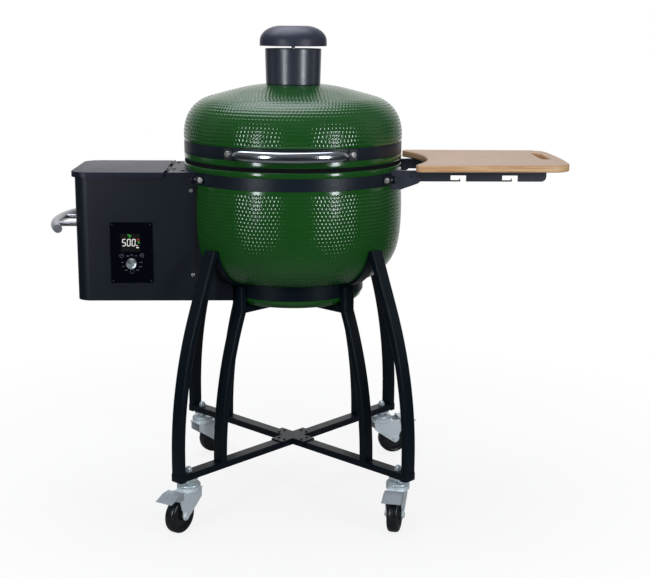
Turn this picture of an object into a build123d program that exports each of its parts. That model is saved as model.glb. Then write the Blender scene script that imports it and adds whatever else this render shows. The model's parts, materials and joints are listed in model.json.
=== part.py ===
"""Ceramic kamado grill with a pellet hopper, a folding side shelf and a wheeled stand.

Millimetres, +Z up. The origin is on the floor, on the vertical axis of the ceramic body.
The front of the grill faces -Y, the hopper is at -X and the shelf at +X.
"""
from build123d import *
from math import atan2, cos, degrees, hypot, radians, sin, sqrt, tan
import os

# ---------------------------------------------------------------- driving dimensions
# clearances
RUNNING_FIT = 0.05          # radial, pins and shafts in their bores
SEAT_GAP = 0.3              # between pieces that lie on each other
PANEL_GAP = 0.6             # between a folded panel and the ceramic
HOLE_CLEARANCE = 0.25       # radial, bolts through sheet metal
FAR = 1000.0                # beyond every edge, for cutting

# ceramic base
FOOT_Z = 586.5
FOOT_RADIUS = 184.0
FOOT_ROUND = 12.0
WAIST_RADIUS = 196.0
WAIST_TOP_Z = 650.0
RIM_RADIUS = 302.0
BASE_SIDE = ((RIM_RADIUS, 912.0), (RIM_RADIUS + 1.6, 800.0), (RIM_RADIUS - 4.5, 747.0),
             (RIM_RADIUS - 40.0, 677.0), (WAIST_RADIUS, WAIST_TOP_Z))
BASE_SIDE_START = -85.7
BASE_RIM_Z = 969.5
CERAMIC_WALL = 26.0
BAND_SEAT_DEPTH = 2.8
RIM_ROUND = 3.0

# ceramic lid
LID_RIM_Z = 979.8
LID_SIDE = ((RIM_RADIUS + 0.6, 1036.0), (RIM_RADIUS - 4.5, 1082.0), (RIM_RADIUS - 31.4, 1125.6),
            (RIM_RADIUS - 70.0, 1147.0), (RIM_RADIUS - 149.0, 1168.0), (76.0, 1180.5))
LID_SIDE_START = 87.0
FLUE_HOLE_RADIUS = 66.0

# gaskets and bands
GASKET_THICKNESS = 5.0
GASKET_WIDTH = 22.0
GASKET_INSET = 1.0
BAND_THICKNESS = 2.5
BAND_HEIGHT = 32.5
BASE_BAND_Z = 921.0
LID_BAND_Z = 997.0
CLAMPS = ((35.0, 1), (-35.0, -1), (145.0, -1), (215.0, 1))    # angle, way the bolt head faces
CLAMP_SLIT = 3.0
CLAMP_HALF_OPENING = 10.0
CLAMP_EAR = (20.0, 3.0, 22.0)  # reach, thickness, height
CLAMP_BOLT_STANDOFF = 11.0
CLAMP_NUT = (7.5, 6.5)
CLAMP_BOLT_TAIL = 3.0

# chimney and rain cap
CHIMNEY_BOTTOM_RADIUS = 75.0
CHIMNEY_TOP_RADIUS = 77.5
CHIMNEY_TOP_Z = 1276.5
CHIMNEY_WALL = 2.5
CHIMNEY_NECK_DEPTH = 26.0
CHIMNEY_FLOOR = 3.0
CAP_RADIUS = 92.0
CAP_SKIRT = 13.0
CAP_HEIGHT = 53.5
CAP_FLAT_RADIUS = 34.0
CAP_WALL = 2.5
CAP_GAP = 7.0
CAP_BOSS_RADIUS = 11.0
CAP_BOSS_DEPTH = 30.0
CAP_ROD_TOP_GAP = 8.0
ROD_RADIUS = 5.0
SPIDER_DROP = 50.5
SPIDER_BAR = (14.0, 5.0)

# lid handle
HANDLE_Z = 1013.0
HANDLE_HALF_SPAN = 147.0
HANDLE_REACH = RIM_RADIUS + 43.0
HANDLE_BOW = 56.0
HANDLE_MID = (10.0, 14.0)
HANDLE_END = (5.0, 6.5)
HANDLE_STATIONS = (0.5, 0.8, 0.92, 0.97, 1.0)
HANDLE_BLUNTNESS = 16
HANDLE_TURN = -2.0            # degrees round the lid, towards the hopper
HANDLE_BOLT_ANGLE = 32.0
HANDLE_PLATE = (24.0, 30.0, 3.5)
BOLT_HEAD = (8.0, 5.5)
BOLT_SHANK_RADIUS = 4.0

# rear lid hinge
HINGE_Y = RIM_RADIUS + 46.0
HINGE_Z = 975.0
HINGE_PIN_RADIUS = 5.0
HINGE_EAR_THICKNESS = 4.0
HINGE_BASE_EAR_X = 42.0
HINGE_EAR_RADIUS = 16.0
HINGE_SADDLE_HALF_ANGLE = 13.0
SPRING_WIRE_RADIUS = 1.8
SPRING_PITCH = 5.0
SPRING_LENGTH = 26.0

# fire parts inside the bowl
FIREBOX_GAP = 6.0
FIREBOX_WALL = 18.0
FIREBOX_TOP_Z = 934.0
GRATE_GAP = 6.0
GRATE_RIM_RADIUS = 4.0
GRATE_BAR_RADIUS = 3.0
GRATE_PITCH = 26.0
POT_RADIUS = 72.0
POT_HEIGHT = 92.0
POT_WALL = 3.0
DEFLECTOR_RADIUS = 175.0
DEFLECTOR_THICKNESS = 6.0
DEFLECTOR_HEIGHT = 130.0
DEFLECTOR_LEG_RADIUS = 5.0
DEFLECTOR_LEG_CIRCLE = 120.0

# hopper
HOPPER_LEFT_X = -RIM_RADIUS - 286.0
HOPPER_FRONT_Y = -158.0
HOPPER_BACK_Y = 118.0
HOPPER_FLOOR_Z = 603.5
HOPPER_RIM_Z = 951.0
HOPPER_INNER_X = -RIM_RADIUS + 136.0
HOPPER_CORNER_RADIUS = 38.0
HOPPER_SHEET = 2.0
HOPPER_MOUTH_X = -RIM_RADIUS - 44.0
TOP_PLATE_RISE = 2.5
HOPPER_LID_OVERHANG = 8.5
HOPPER_LID_DEPTH = 15.0
HOPPER_LID_TOP_Z = 954.5
HOPPER_HINGE_X = HOPPER_MOUTH_X + 6.0
KNUCKLE_Y = 78.0
KNUCKLE_RADIUS = 3.2
KNUCKLE_LENGTH = 36.0
HOPPER_PIN_RADIUS = 1.6
BIN_WALL = 1.5
BIN_STRAIGHT = 90.0
BIN_SPOUT = (60.0, 44.0)
BIN_SPOUT_CORNER = 8.0
HOPPER_SCREW_RADIUS = 5.0
FRONT_SCREWS = ((-RIM_RADIUS + 27.0, 905.0), (-RIM_RADIUS + 29.0, 675.0))
TOP_SCREWS = ((HOPPER_HINGE_X + 14.0, KNUCKLE_Y), (-RIM_RADIUS + 2.0, 112.0))

# hopper side handle
GRIP_Z = 803.0
GRIP_RADIUS = 11.8
GRIP_HALF_SPAN = 147.0
GRIP_MID_X = HOPPER_LEFT_X - 69.0
GRIP_END_X = HOPPER_LEFT_X - 42.0
POST_RADIUS = 6.5
POST_HALF_SPACING = 65.0
POST_PLATE_RADIUS = 15.0
POST_PLATE_THICKNESS = 3.0

# control panel
PANEL_X = HOPPER_LEFT_X + 151.5
PANEL_Z = 736.5
PANEL_SIZE = (114.0, 166.0, 3.0)
PANEL_CORNER = 3.0
KNOB_Z = 708.0
KNOB_RADIUS = 14.5
KNOB_HEIGHT = 13.0
KNOB_SHAFT_RADIUS = 3.0

# auger drive and fan
AUGER_Z = 694.0
AUGER_TUBE_RADIUS = 29.0
AUGER_TUBE_WALL = 2.0
AUGER_RADIUS = 25.0
AUGER_SHAFT_RADIUS = 7.0
AUGER_PITCH = 42.0
FLIGHT_THICKNESS = 3.0
MOTOR_LENGTH = 40.0
MOTOR_SIZE = 62.0
FAN_X = HOPPER_LEFT_X + 188.0
FAN_SIZE = 80.0
FAN_DEPTH = 24.0
FAN_ROTOR_RADIUS = 34.0
FAN_HUB_RADIUS = 14.0
FAN_BLADES = 7
FAN_BLADE_TILT = 38.0
FAN_SPINDLE_RADIUS = 2.0
FAN_SPOKE = (4.0, 2.5)

# power inlet
INLET_X = HOPPER_LEFT_X + 88.0
INLET_Z = 655.0
INLET_SIZE = (48.0, 28.0)
INLET_DEPTH = 22.0
INLET_RIM = 4.0
INLET_PIN_PITCH = 8.0
VENT_ROWS = 5
VENT_PITCH = 10.0
VENT_HEIGHT = 5.0

# stand
TUBE_WIDTH = 38.0
TUBE_DEPTH = 19.0
TUBE_WALL = 1.6
TUBE_CORNER = 3.5
BASE_TUBE_Z = 139.5
OUTER_LEG_FOOT_RADIUS = 436.0
OUTER_LEG_STRAIGHT_Z = 200.0
OUTER_LEG_BEND = 1140.0
OUTER_LEG_BEND_TOP_Z = 600.0
OUTER_LEG_TOP_Z = 751.0
INNER_LEG_FOOT_RADIUS = WAIST_RADIUS + 90.0
INNER_LEG_BEND = 1150.0
RING_Z = 609.5
RING_HEIGHT = 40.0
RING_THICKNESS = 3.0
RING_GAP = 0.4
STRIP_THICKNESS = 6.0
STRIP_GAP = 0.8
SHOE_WALL = 1.4
HUB_ARM_RADIUS = 66.0
HUB_PLATE = 3.0
HUB_FLANGE = 15.0
HUB_SCREW = (46.0, 11.0)
HUB_SCREW_RADIUS = 4.0

# casters
CASTER_CIRCLE_RADIUS = OUTER_LEG_FOOT_RADIUS - 34.0
CASTER_ANGLES = {"front_left": 225.0, "front_right": 315.0, "back_right": 45.0, "back_left": 135.0}
CASTER_TRAILS = {"front_left": 237.0, "front_right": 255.0, "back_right": 15.0, "back_left": 40.0}
CASTER_TRAIL = 42.0
WHEEL_RADIUS = 49.0
WHEEL_WIDTH = 32.0
AXLE_RADIUS = 5.0
FORK_PLATE = 2.6
FORK_SHOULDER = 24.0
FORK_INNER_HALF = 20.4
CROWN_Z = 108.0
RACE_RADIUS = 32.0
LOWER_RACE_HEIGHT = 8.0
UPPER_RACE_HEIGHT = 7.5
STEM_RADIUS = 6.0
STEM_HEAD_RADIUS = 9.0
BOSS_PLATE = (37.8, 4.0)
NUT_RADIUS = 10.0
ACORN_HEIGHT = 15.0
PEDAL_PIVOT = (61.0, 106.0)
PEDAL_PIVOT_RADIUS = 2.5
PEDAL_TIP_U = 110.0
PEDAL_THICKNESS = 2.4
PEDAL_WIDTH = 52.0
PEDAL_TRAVEL = 12.0

# shelf
BOARD_TOP_Z = 980.0
BOARD_THICKNESS = 20.0
BOARD_INNER_X = RIM_RADIUS + 23.0
BOARD_OUTER_X = RIM_RADIUS + 448.0
BOARD_OUTER_BULGE = 10.0
BOARD_INNER_HALF = RIM_RADIUS - 98.0
BOARD_OUTER_HALF = RIM_RADIUS - 106.0
BOARD_INNER_CORNER = 16.0
BOARD_OUTER_CORNER = 55.0
BOARD_EDGE_ROUND = 4.0
BOARD_CUTOUT_RADIUS = RIM_RADIUS + 72.0
SLOT_LENGTH = 168.0
SLOT_WIDTH = 28.0
SLOT_INSET = 30.0
SLOT_Y = 34.0
ARM_Y = RIM_RADIUS - 152.0
ARM_SHEET = 3.0
ARM_NOSE_RADIUS = 23.0         # inside the sweep of the folding board
ARM_LOW = (RIM_RADIUS - 12.0, 909.0)
ARM_START_X = RIM_RADIUS - 62.0
ARM_FLANGE = 16.0
ARM_FLANGE_END_X = RIM_RADIUS + 29.0
ARM_SADDLE_ANGLES = (19.0, 31.0)
ARM_BOLT_ANGLE = 23.5
SHELF_PIVOT = (RIM_RADIUS + 21.0, 945.0)
SHELF_PIVOT_RADIUS = 4.0
SHELF_BOLT_HEAD = (6.0, 3.0)
LOCK_SLOT = (RIM_RADIUS + 37.0, 3.0, 6.0)
RAIL_START_X = RIM_RADIUS + 34.0
RAIL_SHEET = 2.5
RAIL_BOTTOM_Z = 930.0
RAIL_END_X = RIM_RADIUS + 381.0
RAIL_TAIL_RADIUS = 9.0
RAIL_FLANGE = 20.0
HOOK_XS = (RIM_RADIUS + 121.0, RIM_RADIUS + 261.0)
HOOK_NOTCH = (42.0, 16.5)
HOOK_TAB = (26.0, 4.0)

# ---------------------------------------------------------------- derived values
BOWL_INNER_FLOOR_Z = FOOT_Z + CERAMIC_WALL
CAP_BOTTOM_Z = CHIMNEY_TOP_Z + CAP_GAP
CAP_TOP_Z = CAP_BOTTOM_Z + CAP_HEIGHT
SPIDER_Z = CHIMNEY_TOP_Z - SPIDER_DROP
BAND_SEAT_RADIUS = RIM_RADIUS - BAND_SEAT_DEPTH
BASE_TUBE_TOP_Z = BASE_TUBE_Z + TUBE_DEPTH
TOP_TUBE_TOP_Z = FOOT_Z - SEAT_GAP
TOP_TUBE_Z = TOP_TUBE_TOP_Z - TUBE_DEPTH
SPRING_RADIUS = HINGE_PIN_RADIUS + SEAT_GAP + SPRING_WIRE_RADIUS
RING_RADIUS = WAIST_RADIUS + RING_GAP + RING_THICKNESS
INNER_LEG_POST_RADIUS = RING_RADIUS + TUBE_DEPTH / 2
INNER_LEG_TOP_Z = WAIST_TOP_Z - STRIP_THICKNESS - STRIP_GAP
BAND_RADIUS = BAND_SEAT_RADIUS + SEAT_GAP + BAND_THICKNESS
DIAGONALS = (45.0, 135.0, 225.0, 315.0)
HOPPER_MID_Y = (HOPPER_FRONT_Y + HOPPER_BACK_Y) / 2
FIREBOX_FLOOR_Z = BOWL_INNER_FLOOR_Z + FIREBOX_GAP + FIREBOX_WALL
BOARD_BOTTOM_Z = BOARD_TOP_Z - BOARD_THICKNESS
PIN_AXIS_Z = HOPPER_RIM_Z + TOP_PLATE_RISE

nodes = {}
base_bolts = []


# ---------------------------------------------------------------- helpers
def radial_face(points):
    """Closed straight-sided face in the XZ plane; x is the radius."""
    return make_face(Plane.XZ * Polyline(*points, close=True))


def spun(face):
    """Turns a face of the XZ plane round the vertical axis."""
    return revolve(face, Axis.Z, 360)


def ring(inner, outer, bottom, top):
    """Plain ring round the vertical axis."""
    return disc(outer, bottom, top) - disc(inner, bottom - 1, top + 1)


def disc(radius, bottom, top):
    """Upright cylinder on the vertical axis."""
    return Pos(0, 0, bottom) * extrude(Circle(radius), top - bottom)


def slab(x_range, y_range, z_range):
    """Box from its three ranges."""
    centre = [(low + high) / 2 for low, high in (x_range, y_range, z_range)]
    size = [high - low for low, high in (x_range, y_range, z_range)]
    return Pos(*centre) * Box(*size)


def rod(start, end, radius):
    """Round bar between two points."""
    way = Vector(*end) - Vector(*start)
    return extrude(Plane(origin=start, z_dir=way) * Circle(radius), way.length)


def arc_chain(points, heading, distance=0.0):
    """Arcs that run through points and meet without a corner, as (start, middle, end) points.

    The heading is the direction at the first point in degrees, and the distance moves the
    chain to the outer side of the ceramic, away from its axis.
    """
    turn = radians(heading)
    outward = -1 if heading > 0 else 1
    arcs = []

    def moved(point, direction):
        return (point[0] - outward * distance * sin(direction),
                point[1] + outward * distance * cos(direction))

    for start, end in zip(points, points[1:]):
        chord = hypot(end[0] - start[0], end[1] - start[1])
        swing = atan2(end[1] - start[1], end[0] - start[0]) - turn
        swing = atan2(sin(swing), cos(swing))
        half = chord / (2 * cos(swing / 2))
        middle = (start[0] + half * cos(turn + swing / 2), start[1] + half * sin(turn + swing / 2))
        arcs.append((moved(start, turn), moved(middle, turn + swing), moved(end, turn + 2 * swing)))
        turn += 2 * swing
    return arcs


def outline_face(*pieces):
    """Closed face in the XZ plane from arc chains and lists of corner points, in order."""
    edges = []
    for piece in pieces:
        if len(piece[0]) == 3:
            edges += [ThreePointArc(*[(x, 0, z) for x, z in arc]) for arc in piece]
        else:
            edges += Polyline(*[(x, 0, z) for x, z in piece]).edges()
    return make_face(Wire(edges))


def reversed_chain(arcs):
    return [tuple(reversed(arc)) for arc in reversed(arcs)]


def at_diagonals(shape):
    """Four copies of a shape that was made along +X, one on each diagonal."""
    return [Rot(0, 0, angle) * shape for angle in DIAGONALS]


def hexagon_nut(radius, height):
    return extrude(RegularPolygon(radius, 6), height)


def bolt(head_radius, head_height, shank_radius, shank_length):
    """Domed bolt along +Z, the underside of its head at the origin."""
    head = extrude(Circle(head_radius), head_height)
    head = fillet(head.edges().group_by(Axis.Z)[-1], head_height * 0.45)
    return head + Pos(0, 0, -shank_length) * extrude(Circle(shank_radius), shank_length)


def facing(origin, direction):
    """Location whose Z axis points in a direction."""
    return Plane(origin=origin, z_dir=direction).location


# ---------------------------------------------------------------- ceramic base
def base_arcs(distance=0.0):
    """Side of the base from its shoulder down to its waist, moved out by a distance."""
    return arc_chain(BASE_SIDE, BASE_SIDE_START, distance)


def bowl_solid(distance):
    """Solid with the outer shape of the base, moved out by a distance, up past its rim."""
    side = base_arcs(distance)
    top_z = BASE_RIM_Z + 10
    start, end = side[0][0], side[-1][2]
    face = outline_face(side, [end, (0, end[1]), (0, top_z), (start[0], top_z), start])
    low = FOOT_Z - distance
    waist = extrude(Circle(WAIST_RADIUS + distance), WAIST_TOP_Z + 1 - low)
    return spun(face) + Pos(0, 0, low) * waist


def base_shell():
    side = base_arcs()
    lining = base_arcs(-CERAMIC_WALL)
    band_low = BASE_BAND_Z - SEAT_GAP
    band_high = BASE_BAND_Z + BAND_HEIGHT + SEAT_GAP
    inner_waist = WAIST_RADIUS - CERAMIC_WALL
    lower = [side[-1][2], (WAIST_RADIUS, FOOT_Z + 1.5 * FOOT_ROUND), (FOOT_RADIUS, FOOT_Z), (0, FOOT_Z),
             (0, BOWL_INNER_FLOOR_Z), (inner_waist, BOWL_INNER_FLOOR_Z), (inner_waist, lining[-1][2][1]),
             lining[-1][2]]
    upper = [lining[0][0], (RIM_RADIUS - CERAMIC_WALL, BASE_RIM_Z), (RIM_RADIUS, BASE_RIM_Z),
             (RIM_RADIUS, band_high), (BAND_SEAT_RADIUS, band_high), (BAND_SEAT_RADIUS, band_low),
             (RIM_RADIUS, band_low), side[0][0]]
    shell = spun(outline_face(side, lower, reversed_chain(lining), upper))
    foot = shell.edges().filter_by(GeomType.CIRCLE).filter_by(
        lambda edge: edge.center().Z < FOOT_Z + 0.1 and edge.radius > FOOT_RADIUS - 1
    )
    shell = fillet(foot, FOOT_ROUND * 0.8)
    rims = shell.edges().filter_by(GeomType.CIRCLE).filter_by(
        lambda edge: abs(edge.center().Z - BASE_RIM_Z) < 0.1
    )
    shell = fillet(rims, RIM_ROUND)
    port = rod((-2 * RIM_RADIUS, 0, AUGER_Z), (-POT_RADIUS, 0, AUGER_Z), AUGER_TUBE_RADIUS + 1)
    return shell - port


def lid_shell():
    side = arc_chain(LID_SIDE, LID_SIDE_START)
    lining = arc_chain(LID_SIDE, LID_SIDE_START, -CERAMIC_WALL)
    band_low = LID_BAND_Z - SEAT_GAP
    band_high = LID_BAND_Z + BAND_HEIGHT + SEAT_GAP
    crown = side[-1][2]
    top = [crown, (FLUE_HOLE_RADIUS, crown[1]), (FLUE_HOLE_RADIUS, lining[-1][2][1]), lining[-1][2]]
    bottom = [lining[0][0], (RIM_RADIUS - CERAMIC_WALL, LID_RIM_Z), (RIM_RADIUS, LID_RIM_Z),
              (RIM_RADIUS, band_low), (BAND_SEAT_RADIUS, band_low), (BAND_SEAT_RADIUS, band_high),
              (RIM_RADIUS, band_high), side[0][0]]
    shell = spun(outline_face(side, top, reversed_chain(lining), bottom))
    rims = shell.edges().filter_by(GeomType.CIRCLE).filter_by(
        lambda edge: abs(edge.center().Z - LID_RIM_Z) < 0.1
    )
    return fillet(rims, RIM_ROUND)


def make_gaskets_and_bands():
    outer = RIM_RADIUS - GASKET_INSET
    nodes["base_gasket"] = ring(
        outer - GASKET_WIDTH, outer, BASE_RIM_Z, BASE_RIM_Z + GASKET_THICKNESS)
    nodes["lid_gasket"] = ring(
        outer - GASKET_WIDTH, outer, LID_RIM_Z - GASKET_THICKNESS, LID_RIM_Z)
    seat = BAND_SEAT_RADIUS + SEAT_GAP
    for name, low in (("base_band", BASE_BAND_Z), ("lid_band", LID_BAND_Z)):
        nodes[name] = ring(seat, BAND_RADIUS, low, low + BAND_HEIGHT)


def make_band_clamps():
    """Slits in the lower band, each closed by two ears and a bolt along the band."""
    reach, thickness, height = CLAMP_EAR
    ear_face = CLAMP_HALF_OPENING + thickness
    root = BAND_THICKNESS / 2
    for angle, way in CLAMPS:
        place = Rot(0, 0, angle) * Pos(BAND_RADIUS, 0, BASE_BAND_Z + BAND_HEIGHT / 2)
        nodes["base_band"] -= place * Box(FOOT_ROUND, CLAMP_SLIT, BAND_HEIGHT + 2)
        head = place * Plane(origin=(CLAMP_BOLT_STANDOFF, way * ear_face, 0), z_dir=(0, way, 0)).location
        tail = place * Plane(origin=(CLAMP_BOLT_STANDOFF, -way * ear_face, 0), z_dir=(0, -way, 0)).location
        nut_radius, nut_height = CLAMP_NUT
        shank = 2 * ear_face + nut_height + CLAMP_BOLT_TAIL
        clamp_bolt = head * bolt(*BOLT_HEAD, BOLT_SHANK_RADIUS, shank) + tail * hexagon_nut(
            nut_radius, nut_height)
        hole = head * Pos(0, 0, -shank) * extrude(Circle(BOLT_SHANK_RADIUS), shank)
        for end in (-1, 1):
            ear = Pos((reach - root) / 2, end * (ear_face - thickness / 2), 0) * Box(
                reach + root, thickness, height)
            nodes["base_band"] += place * ear - hole
        base_bolts.append(clamp_bolt)


# ---------------------------------------------------------------- chimney
def make_chimney():
    floor_z = LID_SIDE[-1][1] + SEAT_GAP
    neck_radius = FLUE_HOLE_RADIUS - SEAT_GAP
    inner_top = CHIMNEY_TOP_RADIUS - CHIMNEY_WALL
    inner_bottom = CHIMNEY_BOTTOM_RADIUS - CHIMNEY_WALL
    nodes["chimney"] = spun(radial_face([
        (neck_radius - CHIMNEY_WALL, floor_z - CHIMNEY_NECK_DEPTH),
        (neck_radius, floor_z - CHIMNEY_NECK_DEPTH), (neck_radius, floor_z),
        (CHIMNEY_BOTTOM_RADIUS, floor_z), (CHIMNEY_TOP_RADIUS, CHIMNEY_TOP_Z),
        (inner_top, CHIMNEY_TOP_Z), (inner_bottom, floor_z + CHIMNEY_FLOOR),
        (neck_radius - CHIMNEY_WALL, floor_z + CHIMNEY_FLOOR),
    ]))
    share = (SPIDER_Z - floor_z) / (CHIMNEY_TOP_Z - floor_z)
    wall = inner_bottom + share * (inner_top - inner_bottom) - RUNNING_FIT
    reach = sqrt(wall ** 2 - SPIDER_BAR[0] ** 2 / 4)
    bar = Box(2 * reach, SPIDER_BAR[0], SPIDER_BAR[1])
    spider = Pos(0, 0, SPIDER_Z) * (bar + Rot(0, 0, 90) * bar)
    stud_top = CAP_TOP_Z - CAP_WALL - CAP_GAP - CAP_ROD_TOP_GAP + CAP_WALL
    nodes["cap_rod"] = spider + rod((0, 0, SPIDER_Z), (0, 0, stud_top), ROD_RADIUS)
    cap_height = CAP_TOP_Z - CAP_BOTTOM_Z

    def dome(inset):
        radius = CAP_RADIUS - inset
        skirt_top = CAP_BOTTOM_Z + CAP_SKIRT
        top_z = CAP_TOP_Z - inset
        flat = CAP_FLAT_RADIUS - inset
        middle = (
            flat + (radius - flat) * cos(radians(45)),
            skirt_top + (top_z - skirt_top) * sin(radians(45)),
        )
        shoulder = ThreePointArc(
            (radius, 0, skirt_top), (middle[0], 0, middle[1]), (flat, 0, top_z))
        rest = Polyline(
            (flat, 0, top_z), (0, 0, top_z), (0, 0, CAP_BOTTOM_Z - inset),
            (radius, 0, CAP_BOTTOM_Z - inset), (radius, 0, skirt_top),
        )
        return spun(make_face(Wire([*shoulder.edges(), *rest.edges()])))

    cap = dome(0) - dome(CAP_WALL)
    boss_low = CAP_TOP_Z - min(CAP_BOSS_DEPTH, cap_height)
    boss = Pos(0, 0, boss_low) * extrude(Circle(CAP_BOSS_RADIUS), CAP_TOP_Z - CAP_WALL / 2 - boss_low)
    bore_top = stud_top + CAP_ROD_TOP_GAP
    bore = rod((0, 0, CAP_BOTTOM_Z - 1), (0, 0, bore_top), ROD_RADIUS + RUNNING_FIT)
    nodes["chimney_cap"] = cap + boss - bore


# ---------------------------------------------------------------- lid handle
def make_lid_handle():
    sections = []
    for share in [*(-share for share in reversed(HANDLE_STATIONS)), 0, *HANDLE_STATIONS]:
        x = HANDLE_HALF_SPAN * share
        y = -HANDLE_REACH + HANDLE_BOW * share * share
        slope = 2 * HANDLE_BOW * share / HANDLE_HALF_SPAN
        fullness = 1 - share ** HANDLE_BLUNTNESS
        depth = HANDLE_END[0] + (HANDLE_MID[0] - HANDLE_END[0]) * fullness
        height = HANDLE_END[1] + (HANDLE_MID[1] - HANDLE_END[1]) * fullness
        plane = Plane(origin=(x, y, HANDLE_Z), x_dir=(-slope, 1, 0), z_dir=(1, slope, 0))
        sections.append(plane * Ellipse(depth, height))
    nodes["lid_handle"] = loft(sections)

    mounts = []
    bolts = []
    end_y = -HANDLE_REACH + HANDLE_BOW
    for side in (-1, 1):
        angle = radians(-90 + side * HANDLE_BOLT_ANGLE)
        out = Vector(cos(angle), sin(angle), 0)
        across = Vector(-sin(angle), cos(angle), 0) * side
        width, height, thickness = HANDLE_PLATE
        seat = out * (BAND_RADIUS + SEAT_GAP) + Vector(0, 0, HANDLE_Z)
        plate = Plane(origin=seat, x_dir=across, z_dir=out) * Box(
            width, height, thickness, align=(Align.CENTER, Align.CENTER, Align.MIN))
        tip = Vector(side * HANDLE_HALF_SPAN, end_y, HANDLE_Z)
        root = seat + out * (thickness / 2) - across * (width / 2 - 4)
        along = tip - root
        collar_start = tip - along.normalized() * 1.0
        lug = loft([
            Plane(origin=root, z_dir=along) * Circle(HANDLE_END[1]),
            Plane(origin=collar_start, z_dir=along) * Circle(HANDLE_END[1] * 0.8),
        ])
        gap = Plane(origin=tip, z_dir=along) * Circle(2 * HANDLE_END[1])
        head = seat + out * thickness
        around_head = rod(head, head + out * 2 * BOLT_HEAD[1], BOLT_HEAD[0] + SEAT_GAP)
        around_band = disc(BAND_RADIUS + SEAT_GAP, LID_BAND_Z, LID_BAND_Z + BAND_HEIGHT)
        lug = lug - extrude(gap, 20) - around_head - around_band
        mounts.append((plate + lug) - nodes["lid_handle"])
        bolts.append(facing(head, out) * bolt(*BOLT_HEAD, BOLT_SHANK_RADIUS, thickness))
        hole = rod(seat - out, head + out, BOLT_SHANK_RADIUS)
        mounts[-1] = mounts[-1] - hole
    turn = Rot(0, 0, HANDLE_TURN)
    nodes["lid_handle"] = turn * nodes["lid_handle"]
    nodes["handle_mounts"] = [turn * mount for mount in mounts]
    nodes["handle_bolts"] = [turn * item for item in bolts]


# ---------------------------------------------------------------- rear hinge
def hinge_leaf(ear_x, band_z, spread):
    """Saddle on a band with two ears that carry the hinge pin."""
    inner = BAND_RADIUS + SEAT_GAP
    outer = inner + HINGE_EAR_THICKNESS
    low = band_z + 2
    high = band_z + BAND_HEIGHT - 2
    wedge = 2 * outer * tan(radians(HINGE_SADDLE_HALF_ANGLE))
    saddle = ring(inner, outer, low, high) & slab((-wedge / 2, wedge / 2), (0, 2 * outer), (low, high))
    ears = []
    for side in (-1, 1):
        x_range = sorted((side * ear_x, side * (ear_x - HINGE_EAR_THICKNESS)))
        mid_z = (low + high) / 2
        toward = (HINGE_Y, HINGE_Z)
        outline = make_hull([
            *(Pos(*toward) * Circle(HINGE_EAR_RADIUS)).edges(),
            *(Pos(inner + HINGE_EAR_THICKNESS / 2, mid_z) * Rectangle(
                HINGE_EAR_THICKNESS, spread)).edges(),
        ])
        plane = Plane(origin=(x_range[0], 0, 0), x_dir=(0, 1, 0), z_dir=(1, 0, 0))
        ear = extrude(plane * outline, HINGE_EAR_THICKNESS)
        keep = ring(inner, 2 * outer, 0, 2 * HINGE_Z)
        ears.append(ear & keep)
    bore = rod((-2 * ear_x, HINGE_Y, HINGE_Z), (2 * ear_x, HINGE_Y, HINGE_Z),
               HINGE_PIN_RADIUS + RUNNING_FIT)
    return saddle + ears - bore


def make_hinge():
    spread = BAND_HEIGHT - 8
    lid_ear_x = HINGE_BASE_EAR_X - HINGE_EAR_THICKNESS - SEAT_GAP
    nodes["hinge_base"] = hinge_leaf(HINGE_BASE_EAR_X, BASE_BAND_Z, spread)
    nodes["hinge_lid"] = hinge_leaf(lid_ear_x, LID_BAND_Z, spread)
    reach = HINGE_BASE_EAR_X + 1
    shaft = rod((-reach, HINGE_Y, HINGE_Z), (reach, HINGE_Y, HINGE_Z), HINGE_PIN_RADIUS)
    heads = [
        rod((side * reach, HINGE_Y, HINGE_Z), (side * (reach + 4), HINGE_Y, HINGE_Z),
            HINGE_PIN_RADIUS + 3) for side in (-1, 1)
    ]
    nodes["hinge_pin"] = shaft + heads
    coils = []
    for side in (-1, 1):
        start_x = side * 4 if side > 0 else -4 - SPRING_LENGTH
        path = Plane(origin=(start_x, HINGE_Y, HINGE_Z), z_dir=(1, 0, 0)) * Helix(
            SPRING_PITCH, SPRING_LENGTH, SPRING_RADIUS)
        section = Plane(origin=path @ 0, z_dir=path % 0) * Circle(SPRING_WIRE_RADIUS)
        coils.append(sweep(section, path, is_frenet=True))
    nodes["hinge_springs"] = coils


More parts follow.
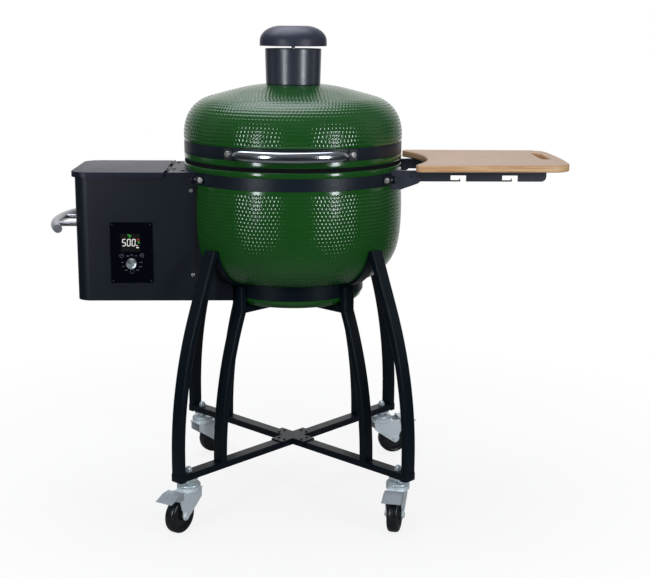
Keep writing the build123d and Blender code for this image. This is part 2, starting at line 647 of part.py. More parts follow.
# ---------------------------------------------------------------- fire parts
def make_fire_parts():
    gap = CERAMIC_WALL + FIREBOX_GAP
    outer = base_arcs(-gap)
    inner = base_arcs(-gap - FIREBOX_WALL)
    outer_waist = WAIST_RADIUS - gap
    inner_waist = outer_waist - FIREBOX_WALL
    outer_floor = BOWL_INNER_FLOOR_Z + FIREBOX_GAP
    outer_top = outer[0][0][0]
    inner_top = inner[0][0][0]
    lower = [outer[-1][2], (outer_waist, outer[-1][2][1]), (outer_waist, outer_floor), (0, outer_floor),
             (0, FIREBOX_FLOOR_Z), (inner_waist, FIREBOX_FLOOR_Z), (inner_waist, inner[-1][2][1]),
             inner[-1][2]]
    upper = [inner[0][0], (inner_top, FIREBOX_TOP_Z), (outer_top, FIREBOX_TOP_Z), outer[0][0]]
    box = spun(outline_face(outer, lower, reversed_chain(inner), upper))
    port = rod((-2 * RIM_RADIUS, 0, AUGER_Z), (0, 0, AUGER_Z), AUGER_TUBE_RADIUS + 1)
    feet = ring(110, 130, BOWL_INNER_FLOOR_Z, outer_floor + 1)
    nodes["firebox"] = box + feet - port

    pot_floor = FIREBOX_FLOOR_Z
    pot = ring(POT_RADIUS - POT_WALL, POT_RADIUS, pot_floor, pot_floor + POT_HEIGHT)
    pot = pot + Pos(0, 0, pot_floor) * extrude(Circle(POT_RADIUS), POT_WALL)
    inlet = rod((-2 * POT_RADIUS, 0, AUGER_Z), (0, 0, AUGER_Z), AUGER_TUBE_RADIUS + SEAT_GAP)
    holes = [
        Rot(0, 0, 60 * step + 30) * rod(
            (0, 0, pot_floor + POT_HEIGHT * 0.3), (2 * POT_RADIUS, 0, pot_floor + POT_HEIGHT * 0.3), 4)
        for step in range(-2, 3)
    ]
    nodes["fire_pot"] = pot - inlet - holes

    plate_z = pot_floor + DEFLECTOR_HEIGHT
    plate = Pos(0, 0, plate_z) * extrude(Circle(DEFLECTOR_RADIUS), DEFLECTOR_THICKNESS)
    plate = fillet(plate.edges(), DEFLECTOR_THICKNESS * 0.3)
    legs = [
        Rot(0, 0, angle) * rod((DEFLECTOR_LEG_CIRCLE, 0, pot_floor),
                               (DEFLECTOR_LEG_CIRCLE, 0, plate_z + 1), DEFLECTOR_LEG_RADIUS)
        for angle in (0, 120, 240)
    ]
    nodes["heat_deflector"] = plate + legs

    grate_radius = (outer_top + inner_top) / 2
    grate_z = FIREBOX_TOP_Z + GRATE_RIM_RADIUS
    rim = ring(grate_radius - GRATE_RIM_RADIUS, grate_radius + GRATE_RIM_RADIUS,
               FIREBOX_TOP_Z, FIREBOX_TOP_Z + 2 * GRATE_RIM_RADIUS)
    count = int((grate_radius - GRATE_PITCH / 2) // GRATE_PITCH)
    bars = []
    for step in range(-count, count + 1):
        half = sqrt(grate_radius ** 2 - (step * GRATE_PITCH) ** 2)
        bars.append(rod((step * GRATE_PITCH, -half, grate_z),
                        (step * GRATE_PITCH, half, grate_z), GRATE_BAR_RADIUS))
    nodes["cooking_grate"] = rim + bars


# ---------------------------------------------------------------- hopper
def hopper_plan(inset=0.0):
    """Plan of the hopper: a rectangle with round corners on its outer side."""
    left = HOPPER_LEFT_X + inset
    front = HOPPER_FRONT_Y + inset
    back = HOPPER_BACK_Y - inset
    plan = Pos(left / 2, (front + back) / 2) * Rectangle(-left, back - front)
    corners = plan.vertices().sort_by(Axis.X)[:2]
    return fillet(corners, HOPPER_CORNER_RADIUS - inset)


def strip_zone(margin):
    """Room kept free for the cradle strips and inner legs of the stand."""
    half = TUBE_WIDTH / 2 + margin
    band = bowl_solid(STRIP_GAP + STRIP_THICKNESS + margin)
    post = INNER_LEG_POST_RADIUS + TUBE_DEPTH / 2 + margin
    lane = slab((0, 2 * RIM_RADIUS), (-half, half), (FOOT_Z - 50, OUTER_LEG_TOP_Z + margin))
    column = slab((0, post), (-half, half), (FOOT_Z - 50, WAIST_TOP_Z + margin))
    return Rot(0, 0, 225) * ((band & lane) + column)


def hopper_body(inset, floor_z, top_z):
    """Hopper volume with its walls moved in, clear of the bowl and the stand."""
    block = Pos(0, 0, floor_z) * extrude(hopper_plan(inset), top_z - floor_z)
    block = block & slab((2 * HOPPER_LEFT_X, HOPPER_INNER_X - inset), (-FAR, FAR), (0, FAR))
    block = block - bowl_solid(PANEL_GAP + inset)
    block = block - disc(RING_RADIUS + PANEL_GAP + inset, 0, WAIST_TOP_Z)
    return block - strip_zone(PANEL_GAP + inset)


def make_hopper():
    outer = hopper_body(0, HOPPER_FLOOR_Z, HOPPER_RIM_Z)
    inner = hopper_body(HOPPER_SHEET, HOPPER_FLOOR_Z + HOPPER_SHEET, HOPPER_RIM_Z + 20)
    port = rod((2 * HOPPER_LEFT_X / 3, 0, AUGER_Z), (0, 0, AUGER_Z), AUGER_TUBE_RADIUS + SEAT_GAP)
    knob_hole = rod((PANEL_X, HOPPER_FRONT_Y - 5, KNOB_Z), (PANEL_X, HOPPER_FRONT_Y + 5, KNOB_Z),
                    KNOB_SHAFT_RADIUS + HOLE_CLEARANCE)
    width, height = INLET_SIZE
    back_wall = (HOPPER_BACK_Y - 2 * HOPPER_SHEET, HOPPER_BACK_Y + HOPPER_SHEET)
    inlet_hole = slab((INLET_X - width / 2 + INLET_RIM, INLET_X + width / 2 - INLET_RIM), back_wall,
                      (INLET_Z - height / 2 + INLET_RIM, INLET_Z + height / 2 - INLET_RIM))
    vent_half = FAN_ROTOR_RADIUS - 4
    vents = []
    for row in range(VENT_ROWS):
        middle = INLET_Z + VENT_PITCH * (row - (VENT_ROWS - 1) / 2)
        vents.append(slab((FAN_X - vent_half, FAN_X + vent_half), back_wall,
                          (middle - VENT_HEIGHT / 2, middle + VENT_HEIGHT / 2)))
    nodes["hopper_shell"] = outer - inner - port - knob_hole - inlet_hole - vents

    plate_low = HOPPER_RIM_Z + SEAT_GAP
    plate_high = PIN_AXIS_Z
    reach = HOPPER_HINGE_X + KNUCKLE_RADIUS + 2 * SEAT_GAP
    plan = hopper_plan() & Pos(reach - 2 * HOPPER_LEFT_X, 0) * Rectangle(-4 * HOPPER_LEFT_X, FAR)
    plate = Pos(0, 0, plate_low) * extrude(plan, plate_high - plate_low)
    plate = plate - rod((0, 0, 0), (0, 0, FAR), RIM_RADIUS + PANEL_GAP)
    plate = plate & slab((reach, -RIM_RADIUS * 0.5), (-FAR, FAR), (0, FAR))
    knuckle_ys = (-KNUCKLE_Y, KNUCKLE_Y)
    bore = rod((HOPPER_HINGE_X, -FAR, PIN_AXIS_Z), (HOPPER_HINGE_X, FAR, PIN_AXIS_Z),
               HOPPER_PIN_RADIUS + RUNNING_FIT)
    lid_knuckles = []
    lid_tabs = []
    pins = []
    for y in knuckle_ys:
        half = KNUCKLE_LENGTH / 2
        barrel = rod((HOPPER_HINGE_X, y - half, PIN_AXIS_Z), (HOPPER_HINGE_X, y + half, PIN_AXIS_Z),
                     KNUCKLE_RADIUS)
        tab = slab((HOPPER_HINGE_X, reach + 1), (y - half, y + half), (plate_low, plate_high))
        plate = plate + barrel + tab
        for side in (-1, 1):
            near = y + side * (half + SEAT_GAP)
            far = y + side * (half + SEAT_GAP + half)
            lid_knuckles.append(rod((HOPPER_HINGE_X, near, PIN_AXIS_Z),
                                    (HOPPER_HINGE_X, far, PIN_AXIS_Z), KNUCKLE_RADIUS))
            lid_tabs.append(slab((HOPPER_MOUTH_X - 1, HOPPER_HINGE_X), sorted((near, far)),
                                 (HOPPER_LID_TOP_Z - HOPPER_SHEET, HOPPER_LID_TOP_Z)))
        pins.append(rod((HOPPER_HINGE_X, y - 2 * half, PIN_AXIS_Z),
                        (HOPPER_HINGE_X, y + 2 * half, PIN_AXIS_Z), HOPPER_PIN_RADIUS))
    nodes["hopper_top_plate"] = plate - bore
    nodes["hopper_hinge_pins"] = pins

    low = HOPPER_LID_TOP_Z - HOPPER_LID_DEPTH
    full = offset(hopper_plan(), HOPPER_LID_OVERHANG)
    hollow = offset(hopper_plan(), HOPPER_LID_OVERHANG - HOPPER_SHEET)
    keep = slab((2 * HOPPER_LEFT_X, HOPPER_MOUTH_X), (-FAR, FAR), (0, FAR))
    cover = (Pos(0, 0, low) * extrude(full, HOPPER_LID_DEPTH)) & keep
    top_edges = cover.edges().group_by(Axis.Z)[-1].filter_by(
        lambda edge: edge.center().X < HOPPER_MOUTH_X - 1)
    cover = fillet(top_edges, HOPPER_SHEET)
    hollow_block = Pos(0, 0, low - 1) * extrude(hollow, HOPPER_LID_DEPTH - HOPPER_SHEET + 1)
    nodes["hopper_lid"] = cover - (hollow_block & keep) + lid_tabs + lid_knuckles - bore

    bin_left = HOPPER_LEFT_X + HOPPER_SHEET + SEAT_GAP
    bin_right = HOPPER_MOUTH_X
    bin_front = HOPPER_FRONT_Y + HOPPER_SHEET + SEAT_GAP
    bin_back = HOPPER_BACK_Y - HOPPER_SHEET - SEAT_GAP
    mid_x = (bin_left + bin_right) / 2
    mid_y = (bin_front + bin_back) / 2
    waist = HOPPER_RIM_Z - BIN_STRAIGHT
    spout_z = AUGER_Z + AUGER_TUBE_RADIUS + SEAT_GAP

    def bin_volume(inset, low_z, high_z):
        size = (bin_right - bin_left - 2 * inset, bin_back - bin_front - 2 * inset)
        wide = RectangleRounded(*size, HOPPER_CORNER_RADIUS - HOPPER_SHEET - SEAT_GAP - inset)
        straight = Pos(mid_x, mid_y, waist) * extrude(wide, high_z - waist)
        spout = Pos(mid_x, 0, low_z) * RectangleRounded(
            BIN_SPOUT[0] - 2 * inset, BIN_SPOUT[1] - 2 * inset, BIN_SPOUT_CORNER - inset)
        return straight + loft([spout, Pos(mid_x, mid_y, waist) * wide])

    nodes["pellet_bin"] = bin_volume(0, spout_z, HOPPER_RIM_Z) - bin_volume(
        BIN_WALL, spout_z - 0.01, HOPPER_RIM_Z + 1)

    motor_left = HOPPER_LEFT_X + HOPPER_SHEET + SEAT_GAP
    motor_right = motor_left + MOTOR_LENGTH
    motor = slab((motor_left, motor_right), (-MOTOR_SIZE / 2, MOTOR_SIZE / 2),
                 (AUGER_Z - MOTOR_SIZE / 2, AUGER_Z + MOTOR_SIZE / 2))
    motor = fillet(motor.edges().filter_by(Axis.X), 6)
    drive = rod((motor_right - 12, 0, AUGER_Z), (motor_right + 1, 0, AUGER_Z),
                AUGER_SHAFT_RADIUS + RUNNING_FIT)
    nodes["auger_motor"] = motor - drive

    tube_left = motor_right + SEAT_GAP
    tube_right = -POT_RADIUS + POT_WALL + 6
    tube_inner = AUGER_TUBE_RADIUS - AUGER_TUBE_WALL
    tube = rod((tube_left, 0, AUGER_Z), (tube_right, 0, AUGER_Z), AUGER_TUBE_RADIUS)
    tube = tube - rod((tube_left - 1, 0, AUGER_Z), (tube_right + 1, 0, AUGER_Z), tube_inner)
    mouth_x, mouth_y = BIN_SPOUT[0] / 2 - 4, BIN_SPOUT[1] / 2 - 4
    mouth = slab((mid_x - mouth_x, mid_x + mouth_x), (-mouth_y, mouth_y),
                 (AUGER_Z, AUGER_Z + 2 * AUGER_TUBE_RADIUS))
    nodes["auger_tube"] = tube - mouth

    shaft_left = motor_right - 11
    shaft = rod((shaft_left, 0, AUGER_Z), (tube_right - 4, 0, AUGER_Z), AUGER_SHAFT_RADIUS)
    length = tube_right - 14 - (tube_left + 6)
    middle = (AUGER_RADIUS + AUGER_SHAFT_RADIUS) / 2
    path = Plane(origin=(tube_left + 6, 0, AUGER_Z), z_dir=(1, 0, 0)) * Helix(
        AUGER_PITCH, length, middle)
    start = path @ 0
    out = start - Vector(start.X, 0, AUGER_Z)
    blade = Plane(origin=start, x_dir=out, z_dir=path % 0) * Rectangle(
        AUGER_RADIUS - AUGER_SHAFT_RADIUS + 1, FLIGHT_THICKNESS)
    nodes["auger"] = shaft + sweep(blade, path, is_frenet=True)

    fan_back = HOPPER_BACK_Y - HOPPER_SHEET - SEAT_GAP
    fan_front = fan_back - FAN_DEPTH
    fan_plane = Plane(origin=(FAN_X, fan_back, INLET_Z), z_dir=(0, -1, 0))
    frame = extrude(fan_plane * (RectangleRounded(FAN_SIZE, FAN_SIZE, 5)
                                 - Circle(FAN_ROTOR_RADIUS + 2)), FAN_DEPTH)
    spoke_width, spoke_depth = FAN_SPOKE
    spoke_length = FAN_SIZE - 6
    spokes = (Rectangle(spoke_length, spoke_width) + Rectangle(spoke_width, spoke_length)
              + Circle(FAN_HUB_RADIUS))
    spindle = extrude(fan_plane * Circle(FAN_SPINDLE_RADIUS), FAN_DEPTH - 3)
    nodes["fan_frame"] = frame + extrude(fan_plane * spokes, spoke_depth) + spindle
    rotor_plane = fan_plane.offset(spoke_depth + 0.5)
    hub = extrude(rotor_plane * Circle(FAN_HUB_RADIUS), FAN_DEPTH - 5)
    blades = []
    for step in range(FAN_BLADES):
        turned = rotor_plane.location * Rot(0, 0, 360 / FAN_BLADES * step)
        blade = Pos((FAN_HUB_RADIUS + FAN_ROTOR_RADIUS) / 2, 0, FAN_DEPTH / 2 - 2.5) * Rot(
            FAN_BLADE_TILT, 0, 0) * Box(FAN_ROTOR_RADIUS - FAN_HUB_RADIUS + 1, 20, 1.8)
        blades.append(turned * blade)
    rotor = hub + blades
    rim_cut = extrude(rotor_plane.offset(-1) * (Circle(2 * FAN_ROTOR_RADIUS)
                                                - Circle(FAN_ROTOR_RADIUS)), FAN_DEPTH)
    socket = extrude(rotor_plane.offset(-1) * Circle(FAN_SPINDLE_RADIUS + RUNNING_FIT), FAN_DEPTH - 4)
    nodes["fan_rotor"] = rotor - rim_cut - socket

    inlet_plane = Plane(origin=(INLET_X, HOPPER_BACK_Y, INLET_Z), x_dir=(1, 0, 0), z_dir=(0, 1, 0))
    inlet = extrude(inlet_plane * RectangleRounded(width, height, INLET_RIM), INLET_RIM / 2)
    body_inset = 2 * INLET_RIM + 2
    inlet = inlet + extrude(
        inlet_plane * RectangleRounded(width - body_inset, height - body_inset, 2), -INLET_DEPTH)
    socket_depth = INLET_DEPTH - INLET_RIM
    socket = extrude(inlet_plane.offset(INLET_RIM) * RectangleRounded(width - 22, height - 14, 2),
                     -socket_depth)
    pins = [
        extrude(inlet_plane.offset(2 - socket_depth) * Pos(INLET_PIN_PITCH * step, 3 * (step == 0))
                * Rectangle(2, 4), socket_depth - 5) for step in (-1, 0, 1)
    ]
    nodes["power_inlet"] = inlet - socket + pins

    half_width, half_height, thickness = PANEL_SIZE[0] / 2, PANEL_SIZE[1] / 2, PANEL_SIZE[2]
    panel_plane = Plane(origin=(PANEL_X, HOPPER_FRONT_Y, PANEL_Z), x_dir=(1, 0, 0), z_dir=(0, -1, 0))
    panel = extrude(panel_plane * RectangleRounded(*PANEL_SIZE[:2], PANEL_CORNER), thickness)
    corner_spots = [(side * (half_width - 6), end * (half_height - 6))
                    for side in (-1, 1) for end in (-1, 1)]
    corner_holes = [extrude(panel_plane.offset(-3) * Pos(*spot) * Circle(1.5), 2 * thickness + 3)
                    for spot in corner_spots]
    nodes["control_panel"] = panel - knob_hole - corner_holes
    nodes["hopper_shell"] = nodes["hopper_shell"] - corner_holes

    knob_base = HOPPER_FRONT_Y - thickness - SEAT_GAP
    knob = rod((PANEL_X, knob_base, KNOB_Z), (PANEL_X, knob_base - KNOB_HEIGHT, KNOB_Z), KNOB_RADIUS)
    knob = fillet(knob.edges().group_by(Axis.Y)[0], 1.5)
    nodes["control_knob"] = knob + rod((PANEL_X, knob_base, KNOB_Z),
                                       (PANEL_X, HOPPER_FRONT_Y + 8, KNOB_Z), KNOB_SHAFT_RADIUS)

    screws = [
        Plane(origin=(PANEL_X + x, HOPPER_FRONT_Y - thickness, PANEL_Z + z), z_dir=(0, -1, 0)).location
        * bolt(2.6, 1.4, 1.5, thickness + HOPPER_SHEET) for x, z in corner_spots
    ]
    front_holes = []
    for x, z in FRONT_SCREWS:
        place = Plane(origin=(x, HOPPER_FRONT_Y, z), z_dir=(0, -1, 0)).location
        screws.append(place * bolt(HOPPER_SCREW_RADIUS, 2.2, 2.5, HOPPER_SHEET + 2))
        front_holes.append(place * Pos(0, 0, -6) * extrude(Circle(2.5), 8))
    nodes["hopper_shell"] = nodes["hopper_shell"] - front_holes
    top_holes = []
    for x, y in [(x, side * y) for x, y in TOP_SCREWS for side in (-1, 1)]:
        screws.append(Pos(x, y, plate_high) * bolt(HOPPER_SCREW_RADIUS, 2.2, 2.5, plate_high - plate_low))
        top_holes.append(Pos(x, y, plate_low - 1) * extrude(Circle(2.5), 6))
    nodes["hopper_top_plate"] = nodes["hopper_top_plate"] - top_holes
    nodes["hopper_screws"] = screws


def make_hopper_handle():
    middle = HOPPER_MID_Y
    arc = ThreePointArc((GRIP_END_X, middle - GRIP_HALF_SPAN, GRIP_Z), (GRIP_MID_X, middle, GRIP_Z),
                        (GRIP_END_X, middle + GRIP_HALF_SPAN, GRIP_Z))
    grip = sweep(Plane(origin=arc @ 0, z_dir=arc % 0) * Circle(GRIP_RADIUS), arc)
    wall = HOPPER_LEFT_X - SEAT_GAP
    posts = []
    for side in (-1, 1):
        y = middle + side * POST_HALF_SPACING
        posts.append(rod((wall, y, GRIP_Z), (GRIP_MID_X + 4, y, GRIP_Z), POST_RADIUS))
        posts.append(rod((wall, y, GRIP_Z), (wall - POST_PLATE_THICKNESS, y, GRIP_Z), POST_PLATE_RADIUS))
    nodes["hopper_handle"] = grip + posts


# ---------------------------------------------------------------- stand
def tube_along(path):
    """Hollow rectangular tube; its wide side lies along Y."""
    plane = Plane(origin=path @ 0, x_dir=(0, 1, 0), z_dir=path % 0)
    outer = RectangleRounded(TUBE_WIDTH, TUBE_DEPTH, TUBE_CORNER)
    inner = RectangleRounded(TUBE_WIDTH - 2 * TUBE_WALL, TUBE_DEPTH - 2 * TUBE_WALL,
                             TUBE_CORNER - TUBE_WALL)
    return sweep(plane * (outer - inner), path, transition=Transition.RIGHT)


def straight_tube(start_x, end_x, low_z):
    """Level tube along +X."""
    z = low_z + TUBE_DEPTH / 2
    return tube_along(Line((start_x, 0, z), (end_x, 0, z)))


def make_stand():
    strip_out = bowl_solid(STRIP_GAP + STRIP_THICKNESS)

    centre_r = OUTER_LEG_FOOT_RADIUS - OUTER_LEG_BEND
    bend_end = (OUTER_LEG_BEND_TOP_Z - OUTER_LEG_STRAIGHT_Z) / OUTER_LEG_BEND
    angle = atan2(bend_end, sqrt(1 - bend_end ** 2))

    def on_bend(turn):
        return (centre_r + OUTER_LEG_BEND * cos(turn), 0,
                OUTER_LEG_STRAIGHT_Z + OUTER_LEG_BEND * sin(turn))

    top_run = (OUTER_LEG_TOP_Z - OUTER_LEG_BEND_TOP_Z) / cos(angle)
    end = on_bend(angle)
    top = (end[0] - top_run * sin(angle), 0, end[2] + top_run * cos(angle))
    foot = (OUTER_LEG_FOOT_RADIUS, 0, BASE_TUBE_Z)
    path = Wire([
        *Line(foot, on_bend(0)).edges(),
        *ThreePointArc(on_bend(0), on_bend(angle / 2), end).edges(),
        *Line(end, top).edges(),
    ])
    nodes["outer_legs"] = at_diagonals(tube_along(path) - strip_out)

    rise = INNER_LEG_FOOT_RADIUS - INNER_LEG_POST_RADIUS
    turn = atan2(sqrt(1 - (1 - rise / INNER_LEG_BEND) ** 2), 1 - rise / INNER_LEG_BEND)
    inner_centre = INNER_LEG_FOOT_RADIUS - INNER_LEG_BEND

    def on_inner(part):
        return (inner_centre + INNER_LEG_BEND * cos(part), 0,
                BASE_TUBE_TOP_Z + INNER_LEG_BEND * sin(part))

    kink = on_inner(turn)
    curve = ThreePointArc(on_inner(0), on_inner(turn / 2), kink)
    post = Line(kink, (kink[0], 0, INNER_LEG_TOP_Z))
    nodes["inner_legs"] = at_diagonals(tube_along(Wire([*curve.edges(), *post.edges()])))

    outer_reach = OUTER_LEG_FOOT_RADIUS - TUBE_DEPTH / 2
    stem_hole = rod((CASTER_CIRCLE_RADIUS, 0, 0), (CASTER_CIRCLE_RADIUS, 0, 2 * BASE_TUBE_TOP_Z),
                    STEM_RADIUS + HOLE_CLEARANCE)
    screw_holes = [
        rod((HUB_SCREW[0], side * HUB_SCREW[1], BASE_TUBE_TOP_Z - TUBE_DEPTH / 2),
            (HUB_SCREW[0], side * HUB_SCREW[1], 2 * BASE_TUBE_TOP_Z), HUB_SCREW_RADIUS / 2)
        for side in (-1, 1)
    ]
    cross = []
    for low_z, reach, cuts in ((BASE_TUBE_Z, outer_reach, [stem_hole, *screw_holes]),
                               (TOP_TUBE_Z, RING_RADIUS, [])):
        turned_cuts = [Rot(0, 0, angle) * cut for angle in (0, 180) for cut in cuts]
        long = straight_tube(-reach, reach, low_z)
        short = straight_tube(TUBE_WIDTH / 2, reach, low_z)
        cross.append(Rot(0, 0, 45) * (long - turned_cuts if cuts else long))
        for turn_angle in (135, 315):
            cross.append(Rot(0, 0, turn_angle) * (short - cuts if cuts else short))
    nodes["cross_tubes"] = cross

    nodes["stand_ring"] = ring(RING_RADIUS - RING_THICKNESS, RING_RADIUS, RING_Z, RING_Z + RING_HEIGHT)

    zone = slab((RING_RADIUS + SEAT_GAP, 2 * RIM_RADIUS), (-TUBE_WIDTH / 2 + 1, TUBE_WIDTH / 2 - 1),
                (INNER_LEG_TOP_Z, OUTER_LEG_TOP_Z))
    strip = (strip_out - bowl_solid(STRIP_GAP)) & zone
    nodes["cradle_strips"] = at_diagonals(strip)

    half = TUBE_WIDTH / 2 + SEAT_GAP + HUB_PLATE
    low, high = BASE_TUBE_TOP_Z, BASE_TUBE_TOP_Z + HUB_PLATE
    hub = slab((-HUB_ARM_RADIUS, HUB_ARM_RADIUS), (-half, half), (low, high))
    hub = hub + slab((-half, half), (-HUB_ARM_RADIUS, HUB_ARM_RADIUS), (low, high))
    for turn_angle in (0, 90, 180, 270):
        for side in (-1, 1):
            y_range = sorted((side * half, side * (half - HUB_PLATE)))
            flap = slab((half - HUB_PLATE, HUB_ARM_RADIUS), y_range, (low - HUB_FLANGE, high))
            hub = hub + Rot(0, 0, turn_angle) * flap
        hub = hub - [Rot(0, 0, turn_angle) * hole for hole in screw_holes]
    nodes["hub_bracket"] = Rot(0, 0, DIAGONALS[0]) * hub
    screw = bolt(HUB_SCREW_RADIUS, 2.4, HUB_SCREW_RADIUS / 2, HUB_PLATE + TUBE_WALL + 3)
    nodes["hub_screws"] = [
        Rot(0, 0, turn_angle) * Pos(HUB_SCREW[0], side * HUB_SCREW[1], BASE_TUBE_TOP_Z + HUB_PLATE) * screw
        for turn_angle in DIAGONALS for side in (-1, 1)
    ]

    low = BASE_TUBE_Z - SHOE_WALL
    inner_face = OUTER_LEG_FOOT_RADIUS - TUBE_DEPTH / 2
    outer_face = OUTER_LEG_FOOT_RADIUS + TUBE_DEPTH / 2
    grip = TUBE_WIDTH / 2 + RUNNING_FIT
    shoe = slab((inner_face, outer_face + SHOE_WALL), (-grip - SHOE_WALL, grip + SHOE_WALL),
                (low, BASE_TUBE_TOP_Z))
    shoe = fillet(shoe.edges().filter_by(Axis.Z).sort_by(Axis.X)[-2:], TUBE_CORNER + SHOE_WALL)
    pocket = slab((inner_face - 1, outer_face + RUNNING_FIT), (-grip, grip),
                  (BASE_TUBE_Z, BASE_TUBE_TOP_Z + 1))
    nodes["leg_shoes"] = at_diagonals(shoe - fillet(
        pocket.edges().filter_by(Axis.Z).sort_by(Axis.X)[-2:], TUBE_CORNER))


# ---------------------------------------------------------------- casters
RACE_TOP_Z = CROWN_Z + FORK_PLATE + LOWER_RACE_HEIGHT + SEAT_GAP + UPPER_RACE_HEIGHT
BOSS_LOW_Z = BASE_TUBE_Z - BOSS_PLATE[1]


def make_caster_stem():
    """Everything of a caster that is fixed to the stand, round its own stem axis."""
    race_low = RACE_TOP_Z - UPPER_RACE_HEIGHT
    stem = rod((0, 0, CROWN_Z - 6), (0, 0, BASE_TUBE_TOP_Z + ACORN_HEIGHT - 4), STEM_RADIUS)
    race = rod((0, 0, race_low), (0, 0, RACE_TOP_Z), RACE_RADIUS)
    race = fillet(race.edges().group_by(Axis.Z)[-1], 3)
    head = rod((0, 0, CROWN_Z - 6), (0, 0, CROWN_Z - SEAT_GAP), STEM_HEAD_RADIUS)
    spacer = Pos(0, 0, RACE_TOP_Z) * hexagon_nut(NUT_RADIUS, BOSS_LOW_Z - RACE_TOP_Z)
    plate = Pos(0, 0, BOSS_LOW_Z) * extrude(
        RectangleRounded(BOSS_PLATE[0], BOSS_PLATE[0], 4), BOSS_PLATE[1])
    thread = rod((0, 0, 0), (0, 0, FAR), STEM_RADIUS)
    nut = Pos(0, 0, BASE_TUBE_TOP_Z) * hexagon_nut(NUT_RADIUS, ACORN_HEIGHT * 0.55)
    dome_low = BASE_TUBE_TOP_Z + ACORN_HEIGHT * 0.55
    dome = rod((0, 0, dome_low), (0, 0, BASE_TUBE_TOP_Z + ACORN_HEIGHT), NUT_RADIUS * 0.8)
    dome = fillet(dome.edges().group_by(Axis.Z)[-1], ACORN_HEIGHT * 0.4)
    return [stem + race + head, spacer - thread, plate - thread, nut + dome - stem]


def make_caster_fork():
    """Swivelling fork with its axle; the wheel trails along +X."""
    outer_half = FORK_INNER_HALF + FORK_PLATE
    crown_top = CROWN_Z + FORK_PLATE
    pedal_x, pedal_z = PEDAL_PIVOT
    body = slab((-RACE_RADIUS, RACE_RADIUS + 4), (-outer_half, outer_half), (CROWN_Z, crown_top))
    race = rod((0, 0, CROWN_Z), (0, 0, crown_top + LOWER_RACE_HEIGHT), RACE_RADIUS)
    side_plan = make_hull([
        *(Pos(CASTER_TRAIL, WHEEL_RADIUS) * Circle(12)).edges(),
        *(Pos(2, CROWN_Z - FORK_SHOULDER / 2) * Rectangle(2 * RACE_RADIUS - 4, FORK_SHOULDER)).edges(),
        *(Pos(pedal_x, pedal_z) * Circle(7)).edges(),
    ])
    relief = Pos(CASTER_TRAIL + 34, WHEEL_RADIUS + 8) * Circle(22)
    sides = []
    for side in (-1, 1):
        start = -outer_half if side < 0 else FORK_INNER_HALF
        plane = Plane(origin=(0, start + FORK_PLATE, 0), x_dir=(1, 0, 0), z_dir=(0, -1, 0))
        sides.append(extrude(plane * (side_plan - relief), FORK_PLATE))
        sides.append(slab((-RACE_RADIUS + 4, RACE_RADIUS), sorted((side * outer_half, side * FORK_INNER_HALF)),
                          (CROWN_Z - 2, crown_top)))
    kingpin = rod((0, 0, 0), (0, 0, FAR), STEM_RADIUS + RUNNING_FIT)
    axle_hole = rod((CASTER_TRAIL, -60, WHEEL_RADIUS), (CASTER_TRAIL, 60, WHEEL_RADIUS), AXLE_RADIUS)
    pivot_hole = rod((pedal_x, -60, pedal_z), (pedal_x, 60, pedal_z),
                     PEDAL_PIVOT_RADIUS + RUNNING_FIT)
    fork = body + race + sides - kingpin - axle_hole - pivot_hole
    axle = rod((CASTER_TRAIL, -outer_half - 1, WHEEL_RADIUS), (CASTER_TRAIL, outer_half + 1, WHEEL_RADIUS),
               AXLE_RADIUS)
    heads = [rod((CASTER_TRAIL, side * outer_half, WHEEL_RADIUS),
                 (CASTER_TRAIL, side * (outer_half + 4), WHEEL_RADIUS), AXLE_RADIUS + 3)
             for side in (-1, 1)]
    return [fork, axle + heads]


def make_caster_wheel():
    half = WHEEL_WIDTH / 2
    bore = AXLE_RADIUS + RUNNING_FIT
    core_radius = WHEEL_RADIUS * 0.76
    hub_half = FORK_INNER_HALF - SEAT_GAP
    tyre = radial_face([(core_radius, -half), (WHEEL_RADIUS - 5, -half), (WHEEL_RADIUS, -half + 5),
                        (WHEEL_RADIUS, half - 5), (WHEEL_RADIUS - 5, half), (core_radius, half)])
    core = radial_face([(bore, -hub_half), (13, -hub_half), (15, -half + 7), (core_radius - 6, -half + 7),
                        (core_radius - 3, -half + 1), (core_radius, -half + 1),
                        (core_radius, half - 1), (core_radius - 3, half - 1),
                        (core_radius - 6, half - 7), (15, half - 7), (13, hub_half), (bore, hub_half)])
    place = Pos(CASTER_TRAIL, 0, WHEEL_RADIUS) * Rot(90, 0, 0)
    return [place * spun(tyre), place * spun(core)]


